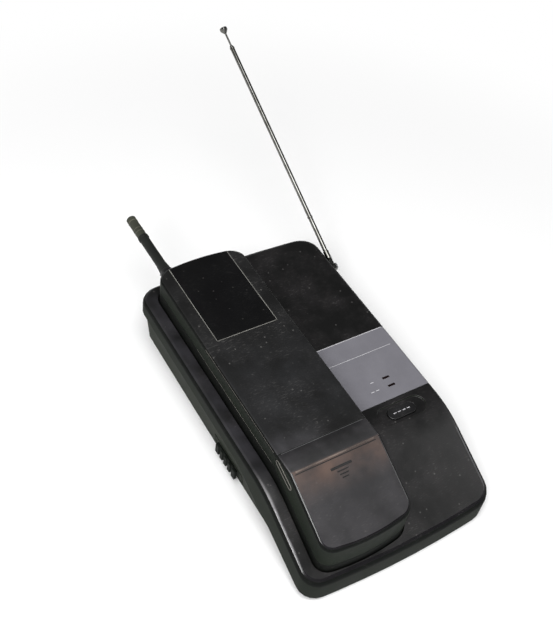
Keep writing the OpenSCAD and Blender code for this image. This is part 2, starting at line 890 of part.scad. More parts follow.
module antenna_pivot_screw() {
    color("#b8babd") {
        along_pivot(pivot_boss_x) cylinder(r = pivot_r, h = pivot_head_x - pivot_boss_x + 0.5);
        difference() {
            along_pivot(pivot_head_x) cylinder(r = pivot_head_r, h = pivot_head_t);
            block([pivot_head_x + 0.8, base_w], [pivot_y - 0.4, pivot_y + 0.4], [-far, far]);
        }
    }
}

module antenna_tube() {
    color("#c7c9cc") difference() {
        union() {
            along_antenna() {
                rotate([0, 90, 0]) translate([0, 0, -eye_t / 2]) cylinder(r = eye_r, h = eye_t);
                block([-eye_t / 2, eye_t / 2], [-tube_r, tube_r], [0, bore_start - 0.5]);
                translate([0, 0, tube_start]) cylinder(r = tube_r, h = tube_l - tube_start);
            }
        }
        along_antenna() translate([0, 0, bore_start]) cylinder(r = tube_r - tube_wall, h = tube_l);
        along_pivot(pivot_x - eye_t) cylinder(r = pivot_r + pivot_gap, h = eye_t * 2);
    }
}

module antenna_middle() {
    color("#c7c9cc") along_antenna() difference() {
        translate([0, 0, middle_start]) cylinder(r = middle_r, h = tube_l + 1.2 - middle_start);
        translate([0, 0, middle_start + 1]) cylinder(r = middle_r - tube_wall, h = tube_l);
    }
}

module antenna_rod() {
    color("#c7c9cc") along_antenna()
        translate([0, 0, rod_start]) cylinder(r = rod_r, h = tube_l + rod_out - rod_start);
}

module antenna_tip() {
    color("#c7c9cc") along_antenna() translate([0, 0, tube_l + rod_out]) {
        cylinder(r1 = rod_r + 0.4, r2 = tip_r, h = tip_h * 0.6);
        translate([0, 0, tip_h * 0.6]) cylinder(r = tip_r, h = tip_h * 0.4);
    }
}

// Handset
module handset_back_shell() {
    color("#222224") difference() {
        union() {
            difference() {
                intersection() {
                    handset_upper(0, 0);
                    block([-far, far], [door_y + door_play, far], [-far, far]);
                }
                intersection() {
                    handset_upper(handset_wall, -slack);
                    block([-far, far], [door_y + door_play + handset_wall, far], [-far, far]);
                }
            }
        }
        difference() {
            inlay_zone(0);
            handset_upper(sheet_t, -slack);
        }
        socket_bore();
    }
}

// Bore for the antenna's socket through the rear end
module socket_bore() {
    translate([socket_x, handset_rear, socket_z]) rotate([90, 0, 0])
        cylinder(r = socket_r + socket_play, h = 4 * socket_in, center = true);
}

module inlay_zone(play) {
    block(
        [handset_x - inlay_w / 2 + play, handset_x + inlay_w / 2 - play],
        [bend_y + inlay_front + play, far],
        [back_z - back_edge_r + play, far]
    );
}

module inlay_panel() {
    color("#08080a") difference() {
        intersection() {
            handset_upper(0, 0);
            inlay_zone(0.1);
        }
        handset_upper(sheet_t, -slack);
        socket_bore();
    }
}

module battery_door() {
    color("#1f1f21") difference() {
        intersection() {
            handset_upper(0, door_play);
            block([-far, far], [-far, door_y], [-far, far]);
        }
        handset_upper(handset_wall, -slack);
    }
}

// A sloping strip along the battery tray, between distances a and b below the case seam
module tray_strip(x, a, b) {
    translate([x[0], 0, 0]) rotate([90, 0, 90]) linear_extrude(x[1] - x[0]) polygon([
        [tray_front, handset_seam(tray_front) - b],
        [tray_rear, handset_seam(tray_rear) - b],
        [tray_rear, handset_seam(tray_rear) - a],
        [tray_front, handset_seam(tray_front) - a]
    ]);
}

module battery_tray() {
    half_w = handset_w / 2 - handset_wall - door_play;
    color("#2a2a2c") tray_strip([handset_x - half_w, handset_x + half_w], tray_drop, tray_drop + tray_t);
}

module battery_cells() {
    lift = (cell_r + 0.1) / cos(slope_angle) - tray_drop;
    color("#3d7a4a") for (k = [0 : 2])
        translate([
            handset_x - cell_l / 2,
            cell_front_y + k * cell_pitch,
            handset_seam(cell_front_y + k * cell_pitch) + lift
        ]) rotate([0, 90, 0]) cylinder(r = cell_r, h = cell_l);
}

module handset_posts(r, z, h) {
    for (side = [-1, 1]) for (y = hs_post_at)
        translate([handset_x + side * hs_post_x, y, z]) cylinder(r = r, h = h);
}

module handset_front_shell() {
    wall_x = handset_w / 2 - handset_wall;
    color("#1d1d1f") difference() {
        union() {
            difference() {
                handset_lower(0, 0);
                handset_lower(handset_wall, slack);
            }
            handset_posts(hs_post_r, face_in_z - handset_wall / 2, hs_board_z - face_in_z + handset_wall / 2);
            for (side = [-1, 1])
                translate([handset_x + side * (wall_x - rail_t / 2), 0, 0])
                    tray_strip(
                        [-rail_t / 2 - 0.1, rail_t / 2 + 0.1],
                        tray_drop + tray_t,
                        tray_drop + tray_t + rail_h
                    );
            translate([handset_x, earpiece_y, face_in_z - handset_wall / 2]) difference() {
                cylinder(r = earpiece_r + earpiece_play + earpiece_rib, h = handset_wall / 2 + 3);
                cylinder(r = earpiece_r + earpiece_play, h = far);
            }
        }
        socket_bore();
        handset_posts(hs_screw_r + 0.05, face_in_z, far);
        for (row = [0 : 3]) for (col = [-1 : 1]) key_hole(col, row_0_y + row * key_pitch_y, key_w, key_l);
        for (col = [-1 : 1]) key_hole(col, function_row_y, key_w, key_l);
        key_hole(0, talk_row_y, talk_w, talk_l);
        for (k = [-2 : 2])
            translate([handset_x, earpiece_y + k * sound_slot_pitch, face_z - slack])
                oblong(sound_slot_l - sound_slot_pitch * abs(k), sound_slot_w, handset_wall + 2 * slack);
        translate([handset_x, mic_y, handset_face(mic_y)]) rotate([face_angle, 0, 0])
            cylinder(r = 1, h = 4 * handset_wall, center = true);
        for (side = [-1, 1])
            at_contact(side) translate([0, 0, -slack])
                cylinder(r = contact_pad_r + 0.05, h = handset_wall + 2 * slack);
    }
}

// Opening for one key in the face
module key_hole(col, y, w, l) {
    translate([handset_x - col * key_pitch_x, y, face_z - slack])
        rounded_plate(w + 2 * key_gap, l + 2 * key_gap, handset_wall + 2 * slack, 2 + key_gap);
}

module handset_circuit_board() {
    color("#2f5d3a") difference() {
        block(
            [handset_x - hs_board_w / 2, handset_x + hs_board_w / 2],
            [hs_board_front, hs_board_rear],
            [hs_board_z, hs_board_z + board_t]
        );
        handset_posts(hs_screw_r + 0.05, 0, far);
    }
}

module keypad_mat() {
    color("#4a4a4e") block(
        [handset_x - mat_half_w, handset_x + mat_half_w],
        [row_0_y - key_l, talk_row_y + talk_l / 2 + 2],
        [mat_z, mat_z + mat_t]
    );
}

module earpiece() {
    color("#55575a") translate([handset_x, earpiece_y, face_in_z]) {
        cylinder(r = earpiece_r, h = earpiece_h * 0.4);
        translate([0, 0, earpiece_h * 0.4]) cylinder(r = earpiece_r * 0.6, h = earpiece_h * 0.6);
    }
}

module microphone() {
    color("#9a9ca0") translate([handset_x, mic_y, handset_face(mic_y) + handset_wall])
        rotate([face_angle, 0, 0]) cylinder(r = mic_r, h = mic_h);
}

module buzzer() {
    color("#151515") translate([handset_x, buzzer_y, hs_board_z + board_t]) difference() {
        cylinder(r = buzzer_r, h = buzzer_h);
        translate([0, 0, buzzer_h - 1]) cylinder(r = 1.5, h = 2);
    }
}

module charge_pads() {
    color("#c9a24a") for (side = [-1, 1]) at_contact(side) cylinder(r = contact_pad_r, h = pad_t);
}

module handset_screws() {
    color("#a9abad") {
        handset_posts(hs_screw_head_r, hs_board_z + board_t, 1.3);
        handset_posts(hs_screw_r, face_in_z + 0.3, hs_board_z + board_t + 0.5 - face_in_z);
    }
}

module antenna_socket() {
    color("#303034") translate([socket_x, handset_rear - socket_in, socket_z]) rotate([-90, 0, 0])
        cylinder(r = socket_r, h = socket_in + socket_out);
}

module rubber_antenna() {
    root_y = handset_rear + socket_out;
    ring_y = rubber_end_y - rubber_cap_l;
    color("#141414") translate([socket_x, root_y, socket_z]) rotate([-90, 0, 0]) {
        cylinder(r1 = rubber_r + 0.8, r2 = rubber_r, h = 8);
        translate([0, 0, 8]) cylinder(r = rubber_r, h = ring_y - root_y - 10);
        translate([0, 0, ring_y - root_y - 2]) cylinder(r = rubber_r + 0.4, h = 2);
    }
}

module rubber_antenna_cap() {
    color("#2c2d26") translate([socket_x, rubber_end_y - rubber_cap_l, socket_z]) rotate([-90, 0, 0]) {
        cylinder(r = rubber_r, h = rubber_cap_l - 1);
        translate([0, 0, rubber_cap_l - 1]) cylinder(r1 = rubber_r, r2 = rubber_r - 1, h = 1);
    }
}

// A key with its flange behind the face; columns count to the right for a reader of the face
module key_cap(col, y, w, l) {
    color("#c9c9c4") translate([handset_x - col * key_pitch_x, y, 0]) {
        translate([0, 0, key_face_z]) rounded_plate(w, l, face_in_z + 0.1 + key_flange_t - key_face_z, 2);
        translate([0, 0, face_in_z + 0.1])
            rounded_plate(w + 2 * key_flange, l + 2 * key_flange, key_flange_t, 2);
    }
}

module dial_key(col, row) {
    key_cap(col, row_0_y + row * key_pitch_y, key_w, key_l);
}

module key_1() dial_key(-1, 3);
module key_2() dial_key(0, 3);
module key_3() dial_key(1, 3);
module key_4() dial_key(-1, 2);
module key_5() dial_key(0, 2);
module key_6() dial_key(1, 2);
module key_7() dial_key(-1, 1);
module key_8() dial_key(0, 1);
module key_9() dial_key(1, 1);
module key_star() dial_key(-1, 0);
module key_0() dial_key(0, 0);
module key_hash() dial_key(1, 0);
module key_talk() key_cap(0, talk_row_y, talk_w, talk_l);
module key_redial() key_cap(-1, function_row_y, key_w, key_l);
module key_flash() key_cap(0, function_row_y, key_w, key_l);
module key_channel() key_cap(1, function_row_y, key_w, key_l);

base_upper_shell();
base_lower_shell();
label_band();
lamp_window_phone();
lamp_window_charge();
page_button();
page_switch();
base_circuit_board();
radio_shield();
lamps();
charge_contact_left();
charge_contact_right();
line_jack();
power_jack();
slide_knob();
slide_switch();
rubber_feet();
base_screws();
antenna_pivot_screw();
antenna_tube();
antenna_middle();
antenna_rod();
antenna_tip();
handset_back_shell();
handset_front_shell();
inlay_panel();
battery_door();
battery_cells();
battery_tray();
handset_circuit_board();
keypad_mat();
earpiece();
microphone();
buzzer();
charge_pads();
handset_screws();
rubber_antenna();
rubber_antenna_cap();
antenna_socket();
key_1();
key_2();
key_3();
key_4();
key_5();
key_6();
key_7();
key_8();
key_9();
key_star();
key_0();
key_hash();
key_talk();
key_redial();
key_flash();
key_channel();
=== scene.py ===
# %% [markdown]
# # Dressing a cordless phone
# The solids of the phone arrive as a fixed frame, in metres, and this lesson gives them their finish.
# The base has a bent top with a cradle, the handset lies in it face down, a chrome antenna leans out
# over the rear and a short rubber one grows from the handset. Everything on the real phone is old black
# plastic, so the work is in small things: rounded edges, worn places, thin printed lines and the way
# each black takes the light.

# %% Load the frame
import json
import math

import bmesh
import bpy
from mathutils import Matrix, Vector
from mathutils.bvhtree import BVHTree


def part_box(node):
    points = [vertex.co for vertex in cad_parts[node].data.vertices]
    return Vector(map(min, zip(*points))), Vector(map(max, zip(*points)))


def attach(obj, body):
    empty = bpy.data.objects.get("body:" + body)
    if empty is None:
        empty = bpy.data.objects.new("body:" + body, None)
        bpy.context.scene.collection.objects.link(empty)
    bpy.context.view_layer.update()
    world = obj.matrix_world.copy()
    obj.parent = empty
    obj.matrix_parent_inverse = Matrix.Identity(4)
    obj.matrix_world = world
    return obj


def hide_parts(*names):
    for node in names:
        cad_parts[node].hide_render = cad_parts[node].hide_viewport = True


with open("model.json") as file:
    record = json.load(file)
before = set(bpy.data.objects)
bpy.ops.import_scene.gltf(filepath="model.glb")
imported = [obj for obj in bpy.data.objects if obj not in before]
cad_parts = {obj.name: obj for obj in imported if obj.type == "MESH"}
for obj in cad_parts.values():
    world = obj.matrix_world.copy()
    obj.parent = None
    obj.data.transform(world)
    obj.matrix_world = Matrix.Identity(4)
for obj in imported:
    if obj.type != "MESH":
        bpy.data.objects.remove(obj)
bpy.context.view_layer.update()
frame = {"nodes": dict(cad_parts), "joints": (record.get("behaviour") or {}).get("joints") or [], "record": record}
MM = 0.001
bodies = frame["record"]["behaviour"]["bodies"]
body_of = {node: body for body, nodes in bodies.items() for node in nodes}
slot_of = {part["node"]: part["material_slot"] for part in frame["record"]["subparts"]}


def span(node):
    """Lowest and highest corner of a solid, in millimetres."""
    low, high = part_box(node)
    return low / MM, high / MM


# %% [markdown]
# ## The camera
# A camera can be aimed by hand until it looks right, or worked out. Here the parallel edges of the
# phone gave two vanishing points, and these give the focal length and the three directions of the
# camera, so the camera is set from its own axes and its place. The picture is 553 pixels wide, and the
# focal length is 970 of those pixels.

# %% Camera
PICTURE_WIDTH = 553
FOCAL_PIXELS = 970
camera_right = Vector((0.8567, -0.5033, 0.1139))
camera_up = Vector((0.3101, 0.6786, 0.6658))
camera_back = camera_right.cross(camera_up).normalized()
camera_place = Vector((-254.4, -282.8, 513.7)) * MM

lens = bpy.data.cameras.new("portrait lens")
lens.sensor_fit = "HORIZONTAL"
lens.sensor_width = 36
lens.lens = FOCAL_PIXELS * lens.sensor_width / PICTURE_WIDTH
camera = bpy.data.objects.new("portrait_camera", lens)
bpy.context.scene.collection.objects.link(camera)
axes = Matrix((camera_right.normalized(), camera_up.normalized(), camera_back)).transposed()
camera.matrix_world = Matrix.Translation(camera_place) @ axes.to_4x4()
bpy.context.scene.camera = camera
print(f"lens {lens.lens:.1f} mm")

# %% [markdown]
# ## Small tools for materials
# Colours are written as they are seen on a screen, in hexadecimal, but a shader counts light, so one
# function turns them to linear values. The next adds one node with its settings and its links, which
# keeps each material readable as a short list of what happens to the light. The last gives an empty
# material to fill.

# %% Colour and node tools
def linear(hex_colour):
    """The linear RGBA of a colour written as #rrggbb."""
    channels = [int(hex_colour[k:k + 2], 16) / 255 for k in (1, 3, 5)]
    return tuple(c / 12.92 if c <= 0.04045 else ((c + 0.055) / 1.055) ** 2.4 for c in channels) + (1,)


def add(tree, kind, values=None, **settings):
    """One new node: settings are its own properties, values fill its sockets with numbers or links."""
    made = tree.nodes.new(kind)
    for name, value in settings.items():
        setattr(made, name, value)
    for socket, value in (values or {}).items():
        if isinstance(value, bpy.types.NodeSocket):
            tree.links.new(value, made.inputs[socket])
        else:
            made.inputs[socket].default_value = value
    return made


def new_material(name):
    """An empty node material with its output and one Principled shader."""
    made = bpy.data.materials.new(name)
    made.use_nodes = True
    made.node_tree.nodes.clear()
    shader = add(made.node_tree, "ShaderNodeBsdfPrincipled", name="surface")
    add(made.node_tree, "ShaderNodeOutputMaterial", {"Surface": shader.outputs["BSDF"]})
    return made, made.node_tree, shader


print("black plastic is about", [round(c, 3) for c in linear("#161617")[:3]])

# %% [markdown]
# ## Moulded plastics
# Nearly all of the phone is ABS, moulded in a steel tool whose walls were etched, so it has a fine even
# grain. Years of hands polish the grain in patches, leave pale hair scratches, rub the edges grey and
# press specks of dust into it. These could be painted into a picture; noise does it without one and
# from every side. One function makes the whole family, because its members differ only in colour, gloss
# and wear. Every noise has its scale from millimetres: a noise of scale s has cells about 1/s metres
# wide. The real grain is near 0.15 mm and is drawn at 0.5 mm, since a finer one would vanish between
# the pixels.

# %% Moulded plastic
GRAIN = 0.5 * MM
GRAIN_DEPTH = 0.04 * MM
PATCH = 22 * MM
HAIR = 3 * MM
SPECK_SPACING = 7 * MM
EDGE_ROUND = 0.45 * MM


def moulded(name, colour, worn, gloss, scratch=0.5, rubbed="#4c4a48", rub=0.35, dust=0.0, shine=0.5):
    """Moulded plastic or rubber: its clean, worn and rubbed colours; gloss is a range of roughness."""
    made, tree, shader = new_material(name)
    place = add(tree, "ShaderNodeTexCoord").outputs["Object"]
    patches = add(tree, "ShaderNodeTexNoise",
                  {"Vector": place, "Scale": 1 / PATCH, "Detail": 6, "Roughness": 0.6})
    wear = add(tree, "ShaderNodeMapRange",
               {"Value": patches.outputs["Fac"], "From Min": 0.4, "From Max": 0.75})
    stretched = add(tree, "ShaderNodeMapping",
                    {"Vector": place, "Rotation": (0.3, 0.2, 0.9), "Scale": (1, 9, 3)})
    hairs = add(tree, "ShaderNodeTexNoise",
                {"Vector": stretched.outputs[0], "Scale": 1 / HAIR, "Detail": 3})
    lines = add(tree, "ShaderNodeMapRange",
                {"Value": hairs.outputs["Fac"], "From Min": 0.6, "From Max": 0.7, "To Max": scratch})
    scuffs = add(tree, "ShaderNodeMath", {0: lines.outputs[0], 1: wear.outputs[0]}, operation="MULTIPLY")
    rounded = add(tree, "ShaderNodeBevel", {"Radius": EDGE_ROUND}, samples=4)
    flat = add(tree, "ShaderNodeNewGeometry").outputs["Normal"]
    bend = add(tree, "ShaderNodeVectorMath", {0: rounded.outputs[0], 1: flat}, operation="DOT_PRODUCT")
    edges = add(tree, "ShaderNodeMapRange",
                {"Value": bend.outputs["Value"], "From Min": 0.985, "From Max": 0.8, "To Max": rub})
    cells = add(tree, "ShaderNodeTexVoronoi", {"Vector": place, "Scale": 1 / SPECK_SPACING})
    specks = add(tree, "ShaderNodeMapRange",
                 {"Value": cells.outputs["Distance"], "From Min": 0.05, "From Max": 0.1,
                  "To Min": dust, "To Max": 0})
    pale = add(tree, "ShaderNodeMath", {0: scuffs.outputs[0], 1: edges.outputs[0]}, operation="MAXIMUM")
    paler = add(tree, "ShaderNodeMath", {0: pale.outputs[0], 1: specks.outputs[0]}, operation="MAXIMUM")
    tone = add(tree, "ShaderNodeMix",
               {"Factor": wear.outputs[0], 6: linear(colour), 7: linear(worn)}, data_type="RGBA")
    topped = add(tree, "ShaderNodeMix",
                 {"Factor": paler.outputs[0], 6: tone.outputs[2], 7: linear(rubbed)}, data_type="RGBA")
    dullness = add(tree, "ShaderNodeMapRange",
                   {"Value": wear.outputs[0], "To Min": gloss[0], "To Max": gloss[1]})
    etched = add(tree, "ShaderNodeTexNoise", {"Vector": place, "Scale": 1 / GRAIN, "Detail": 2})
    relief = add(tree, "ShaderNodeBump",
                 {"Height": etched.outputs["Fac"], "Distance": GRAIN_DEPTH, "Strength": 0.6,
                  "Normal": rounded.outputs[0]})
    tree.links.new(topped.outputs[2], shader.inputs["Base Color"])
    tree.links.new(dullness.outputs[0], shader.inputs["Roughness"])
    tree.links.new(relief.outputs[0], shader.inputs["Normal"])
    shader.inputs["Specular IOR Level"].default_value = shine
    return made


print("grain", GRAIN / MM, "mm, patches", PATCH / MM, "mm, specks every", SPECK_SPACING / MM, "mm")

# %% Plastics of the case
# satin black, a little warm where it is worn, so the bend shows as a soft grey band
base_plastic = moulded("moulded_abs_base_top", "#101010", "#1c1a1b", (0.3, 0.44), scratch=0.7,
                       rubbed="#5a5857", rub=0.3, dust=0.6)
# the same plastic low on the walls, dull, with a painted reflection: a green-grey tint for the green that the
# walls mirror
green_reflection_wall_plastic = moulded("abs_base_wall_painted_green_reflection", "#22261f", "#2d3129", (0.62, 0.75), rub=0.2, shine=0.08)
# the handset is handled most: matte, with grey scuffs that catch the light
handset_plastic = moulded("moulded_abs_handset", "#101010", "#181819", (0.36, 0.5), scratch=0.7,
                          rubbed="#6c6a68", rub=0.2, dust=0.5)
# its sides, which the palm keeps dull, with a painted reflection: a green tint for the green they mirror
green_reflection_side_plastic = moulded("abs_handset_side_painted_green_reflection", "#151a14", "#1d231b", (0.55, 0.7), rub=0.2, shine=0.1)
# painted shade: darker and dull, for the half of it that lies in the cradle, where no light comes
cradle_shade_plastic = moulded("abs_handset_front_painted_shade", "#0d0f0d", "#131512", (0.6, 0.7), rub=0.1,
                          shine=0.1)
# painted reflection: the base's skirt under its top, the greenest part of it, tinted for the green it mirrors
green_reflection_skirt_plastic = moulded("abs_base_skirt_painted_green_reflection", "#181c17", "#21261f", (0.62, 0.75), rub=0.15,
                        shine=0.08)
# the rim of the tops, polished by sleeves and hands until it draws a bright streak
rim_plastic = moulded("polished_abs_rim", "#151416", "#1c1b1d", (0.18, 0.26), rub=0.1, shine=0.55)
# painted dark reflection: edges that turn from a top into a wall mirror only a dark room, so they are painted near
# black to read as a black line
dark_reflection_edge_plastic = moulded("abs_edge_painted_dark_reflection", "#090b09", "#0e110e", (0.6, 0.7), rub=0.0, shine=0.1)
print("plastics:", base_plastic.name, green_reflection_wall_plastic.name, handset_plastic.name)

# %% [markdown]
# ## The worn battery door
# Thumbs push the door open just in front of its ridge, and there the black has gone dusty brown. The
# rest of the door is greyer than the case, since it slopes and is wiped less, and behind its ridge it
# is painted near black, a painted shade. The case has a grey smear where it is gripped, and dust lies
# beside the cradle, with painted light over it that lifts the handset's shade; the base's left rim
# carries a painted highlight, pale where its top bends. A stain like these could be one more texture
# map. Here it is a mask made from the place on the object: it fades along one axis or two, and a noise
# breaks it up.

# %% Door plastic, stains and painted light
RIDGE_AT = -63
STAIN_OR_LIGHT_PATCH = 14 * MM
STAIN_LENGTH = 21


def stained(material, colour, strength, *fades):
    """Lays a colour over a finish, a stain or painted light or shade; a fade is an axis, where there is none and
    where it is full, in mm.
    """
    tree = material.node_tree
    shader = tree.nodes["surface"]
    below = shader.inputs["Base Color"].links[0].from_socket
    place = add(tree, "ShaderNodeTexCoord").outputs["Object"]
    parts = add(tree, "ShaderNodeSeparateXYZ", {0: place}).outputs
    broken = add(tree, "ShaderNodeTexNoise", {"Vector": place, "Scale": 1 / STAIN_OR_LIGHT_PATCH, "Detail": 5})
    mask = add(tree, "ShaderNodeMapRange",
               {"Value": broken.outputs["Fac"], "From Min": 0.25, "From Max": 0.7, "To Max": strength})
    for axis, none, full in fades:
        fade = add(tree, "ShaderNodeMapRange",
                   {"Value": parts[axis], "From Min": none * MM, "From Max": full * MM},
                   interpolation_type="SMOOTHSTEP")
        mask = add(tree, "ShaderNodeMath", {0: mask.outputs[0], 1: fade.outputs[0]}, operation="MULTIPLY")
    mixed = add(tree, "ShaderNodeMix",
                {"Factor": mask.outputs[0], 6: below, 7: linear(colour)}, data_type="RGBA")
    tree.links.new(mixed.outputs[2], shader.inputs["Base Color"])


# greyer and drier than the case
door_plastic = moulded("moulded_abs_door", "#201f21", "#302e31", (0.4, 0.52), scratch=0.8, dust=0.5)
# dusty brown in front of the ridge
stained(door_plastic, "#57443b", 0.9,
        ("Y", RIDGE_AT - STAIN_LENGTH, RIDGE_AT - 4), ("Y", RIDGE_AT + 1, RIDGE_AT))
# painted shade: near black behind it, dimming the strip's reflection
stained(door_plastic, "#060606", 1.0, ("Y", RIDGE_AT, RIDGE_AT + 2))
# a grey smear where the handset is gripped
stained(handset_plastic, "#252628", 0.5, ("Y", -50, -25), ("Y", 40, 0))
# and dust that gathers behind the door, most of it on the left
stained(handset_plastic, "#3f3e41", 0.9, ("Y", -30, -48), ("X", -15, -50))
# grey dust on the strip beside the cradle, which nobody wipes, and painted light there that lifts the shade the
# handset casts on it
stained(base_plastic, "#2c2b2f", 0.9, ("X", -55, -58), ("Y", -62, -40))
# painted highlight: the rim and the outer top where the top bends are painted pale, for the bright streak of light
# along the bend
stained(rim_plastic, "#8f8c8f", 0.7, ("X", -60, -63), ("Y", -56, -76), ("Y", -102, -76))
stained(base_plastic, "#757275", 0.9, ("X", -63.5, -66.3), ("Y", -38, -54), ("Y", -100, -62))
print("door stained from", RIDGE_AT - STAIN_LENGTH, "to", RIDGE_AT, "mm")

# %% [markdown]
# ## Shells with rounded edges
# The solids have the right form but hard edges, and a moulded shell never has those: the tool leaves
# about 0.3 mm on every corner, and that thin round is what catches the light. The shells could be
# modelled again with subdivision surfaces, which would drift from the solids. Instead each shell is
# copied from its solid, its flat triangles are merged into whole faces, and a bevel rounds what is
# sharp. Weighted normals keep the large faces flat. A long low ridge across the phone, as on the door,
# stays a crisp line. The tops, their rims, the edges turning down and the walls each take a finish:
# only the tops and their rims are polished by hands. The edges turning down are painted near black, a
# painted dark reflection of the room, and the walls, which look at the bright table, carry a painted
# reflection: a green tint for the green they mirror.

# %% Copy a shell and round its edges
SHELL_EDGE = 0.3 * MM
SHARP_TURN = math.radians(38)
FLAT_TURN = math.radians(0.6)
WELD = 0.002 * MM
RIDGE_TURN = math.radians(12)
RIDGE_LENGTH = 20 * MM
# how far a face looks up, as its normal's z, where one band ends and the next begins
BAND_ENDS = (0.9, 0.75, 0.1)


def band_of(face):
    """A face's band, by how steep it is: 0 for tops, then rims, edges turning down and walls."""
    return sum(face.normal.z < end for end in BAND_ENDS)


def dressed(node, finish, edge=SHELL_EDGE, lower=()):
    """A copy of a solid with rounded edges, in its place; lower has the finishes of its other bands."""
    mesh = bpy.data.meshes.new(node + "_mesh")
    edit = bmesh.new()
    edit.from_mesh(frame["nodes"][node].data)
    bmesh.ops.remove_doubles(edit, verts=edit.verts, dist=WELD)
    bmesh.ops.dissolve_limit(edit, angle_limit=FLAT_TURN, verts=edit.verts, edges=edit.edges)
    for face in edit.faces:
        face.smooth = True
        face.material_index = band_of(face) if lower else 0
    for line in edit.edges:
        wide = abs(line.verts[0].co.x - line.verts[1].co.x) > RIDGE_LENGTH
        if wide and line.is_manifold and line.calc_face_angle() > RIDGE_TURN:
            line.smooth = False
    edit.to_mesh(mesh)
    edit.free()
    for layer in (finish, *lower):
        mesh.materials.append(layer)
    piece = bpy.data.objects.new(node + "_rounded", mesh)
    bpy.context.scene.collection.objects.link(piece)
    rounding = piece.modifiers.new("rounded edges", "BEVEL")
    rounding.width = edge
    rounding.segments = 2
    rounding.limit_method = "ANGLE"
    rounding.angle_limit = SHARP_TURN
    rounding.use_clamp_overlap = False
    even = piece.modifiers.new("even shading", "WEIGHTED_NORMAL")
    even.keep_sharp = True
    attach(piece, body_of[node])
    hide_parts(node)


print("edges round by", SHELL_EDGE / MM, "mm")

# %% Dress the shells
shells = {
    "base_upper_shell": (base_plastic, rim_plastic, green_reflection_skirt_plastic),
    "base_lower_shell": (green_reflection_wall_plastic, green_reflection_wall_plastic, green_reflection_wall_plastic),
    "handset_back_shell": (handset_plastic, dark_reflection_edge_plastic, green_reflection_side_plastic),
    "handset_front_shell": (cradle_shade_plastic, cradle_shade_plastic, cradle_shade_plastic),
    "battery_door": (door_plastic, rim_plastic, green_reflection_side_plastic),
}
for node, (finish, rim, wall) in shells.items():
    dressed(node, finish, lower=(rim, dark_reflection_edge_plastic, wall))
print("shells:", ", ".join(shells))

# %% [markdown]
# ## Buttons, knob and keys
# These are moulded apart from the case and fitted into it. The page button and the knob are the case's
# black; the dial keys, on the face that lies in the cradle, are pale grey. They want a softer edge than
# the shells, because a finger has to find them.

# %% Buttons, knob and keys
BUTTON_EDGE = 0.35 * MM
KEY_EDGE = 0.5 * MM
# black like the case, with the gloss of something that is touched
button_plastic = moulded("moulded_abs_button", "#111112", "#1a1a1b", (0.32, 0.45), rub=0.5)
# warm pale grey, slightly yellowed
key_plastic = moulded("moulded_abs_key", "#b9b8b0", "#a5a298", (0.4, 0.5), scratch=0.2,
                      rubbed="#cfcdc4", rub=0.3)
# dull and dark, like the wall it slides in, with the same painted reflection: a faint green tint
knob_green_reflection_plastic = moulded("abs_knob_painted_green_reflection", "#0f130f", "#151a15", (0.6, 0.7), rub=0.1, shine=0.1)
key_nodes = [node for node, slot in slot_of.items() if slot == "key"]
for node, finish in (("page_button", button_plastic), ("slide_knob", knob_green_reflection_plastic)):
    dressed(node, finish, edge=BUTTON_EDGE)
for node in key_nodes:
    dressed(node, key_plastic, edge=KEY_EDGE)
print(len(key_nodes), "keys")

# %% [markdown]
# ## The label and the black sheet
# Across the right of the base lies a grey polycarbonate sheet, printed on its back, so its surface is
# even and softly glossy. The handset carries a sheet of black acrylic, the glossiest thing on the
# phone. Both are 0.6 mm thick, so their edges get only a 0.1 mm round. A sheet could be a plain colour;
# a faint cloud and fine dust keep it from looking printed into the air.

# %% Label and sheet
SHEET_EDGE = 0.1 * MM
# mid grey with a breath of violet, evenly satin
label_sheet = moulded("printed_polycarbonate_label", "#6e6d73", "#76757b", (0.36, 0.42), scratch=0.15,
                      rubbed="#9b9aa0", rub=0.3)
# nearly no colour of its own, only a clean reflection
black_sheet = moulded("gloss_acrylic_sheet", "#0a0a0b", "#0e0e0f", (0.16, 0.24), scratch=0.3,
                      rub=0.0, dust=0.35)
dressed("label_band", label_sheet, edge=SHEET_EDGE)
dressed("inlay_panel", black_sheet, edge=SHEET_EDGE)
low, high = span("label_band")
print("label", [round(v, 1) for v in high - low], "mm")

# %% [markdown]
# ## Metals
# The antenna is brass tube with a chrome plate, drawn through a die, so fine lines run along it. The
# screws are zinc plated, the contacts gold flashed, the radio's can tinned and the microphone brushed
# aluminium. All five are one recipe: a metal's colour is the colour of its reflection, noise stretched
# along the drawing direction varies the roughness, and a slow noise adds tarnish. The lines are 0.05 mm
# apart on the real tube and are drawn at 0.4 mm.

# %% Metals
DRAWN_LINE = 0.4 * MM
TARNISH = 9 * MM


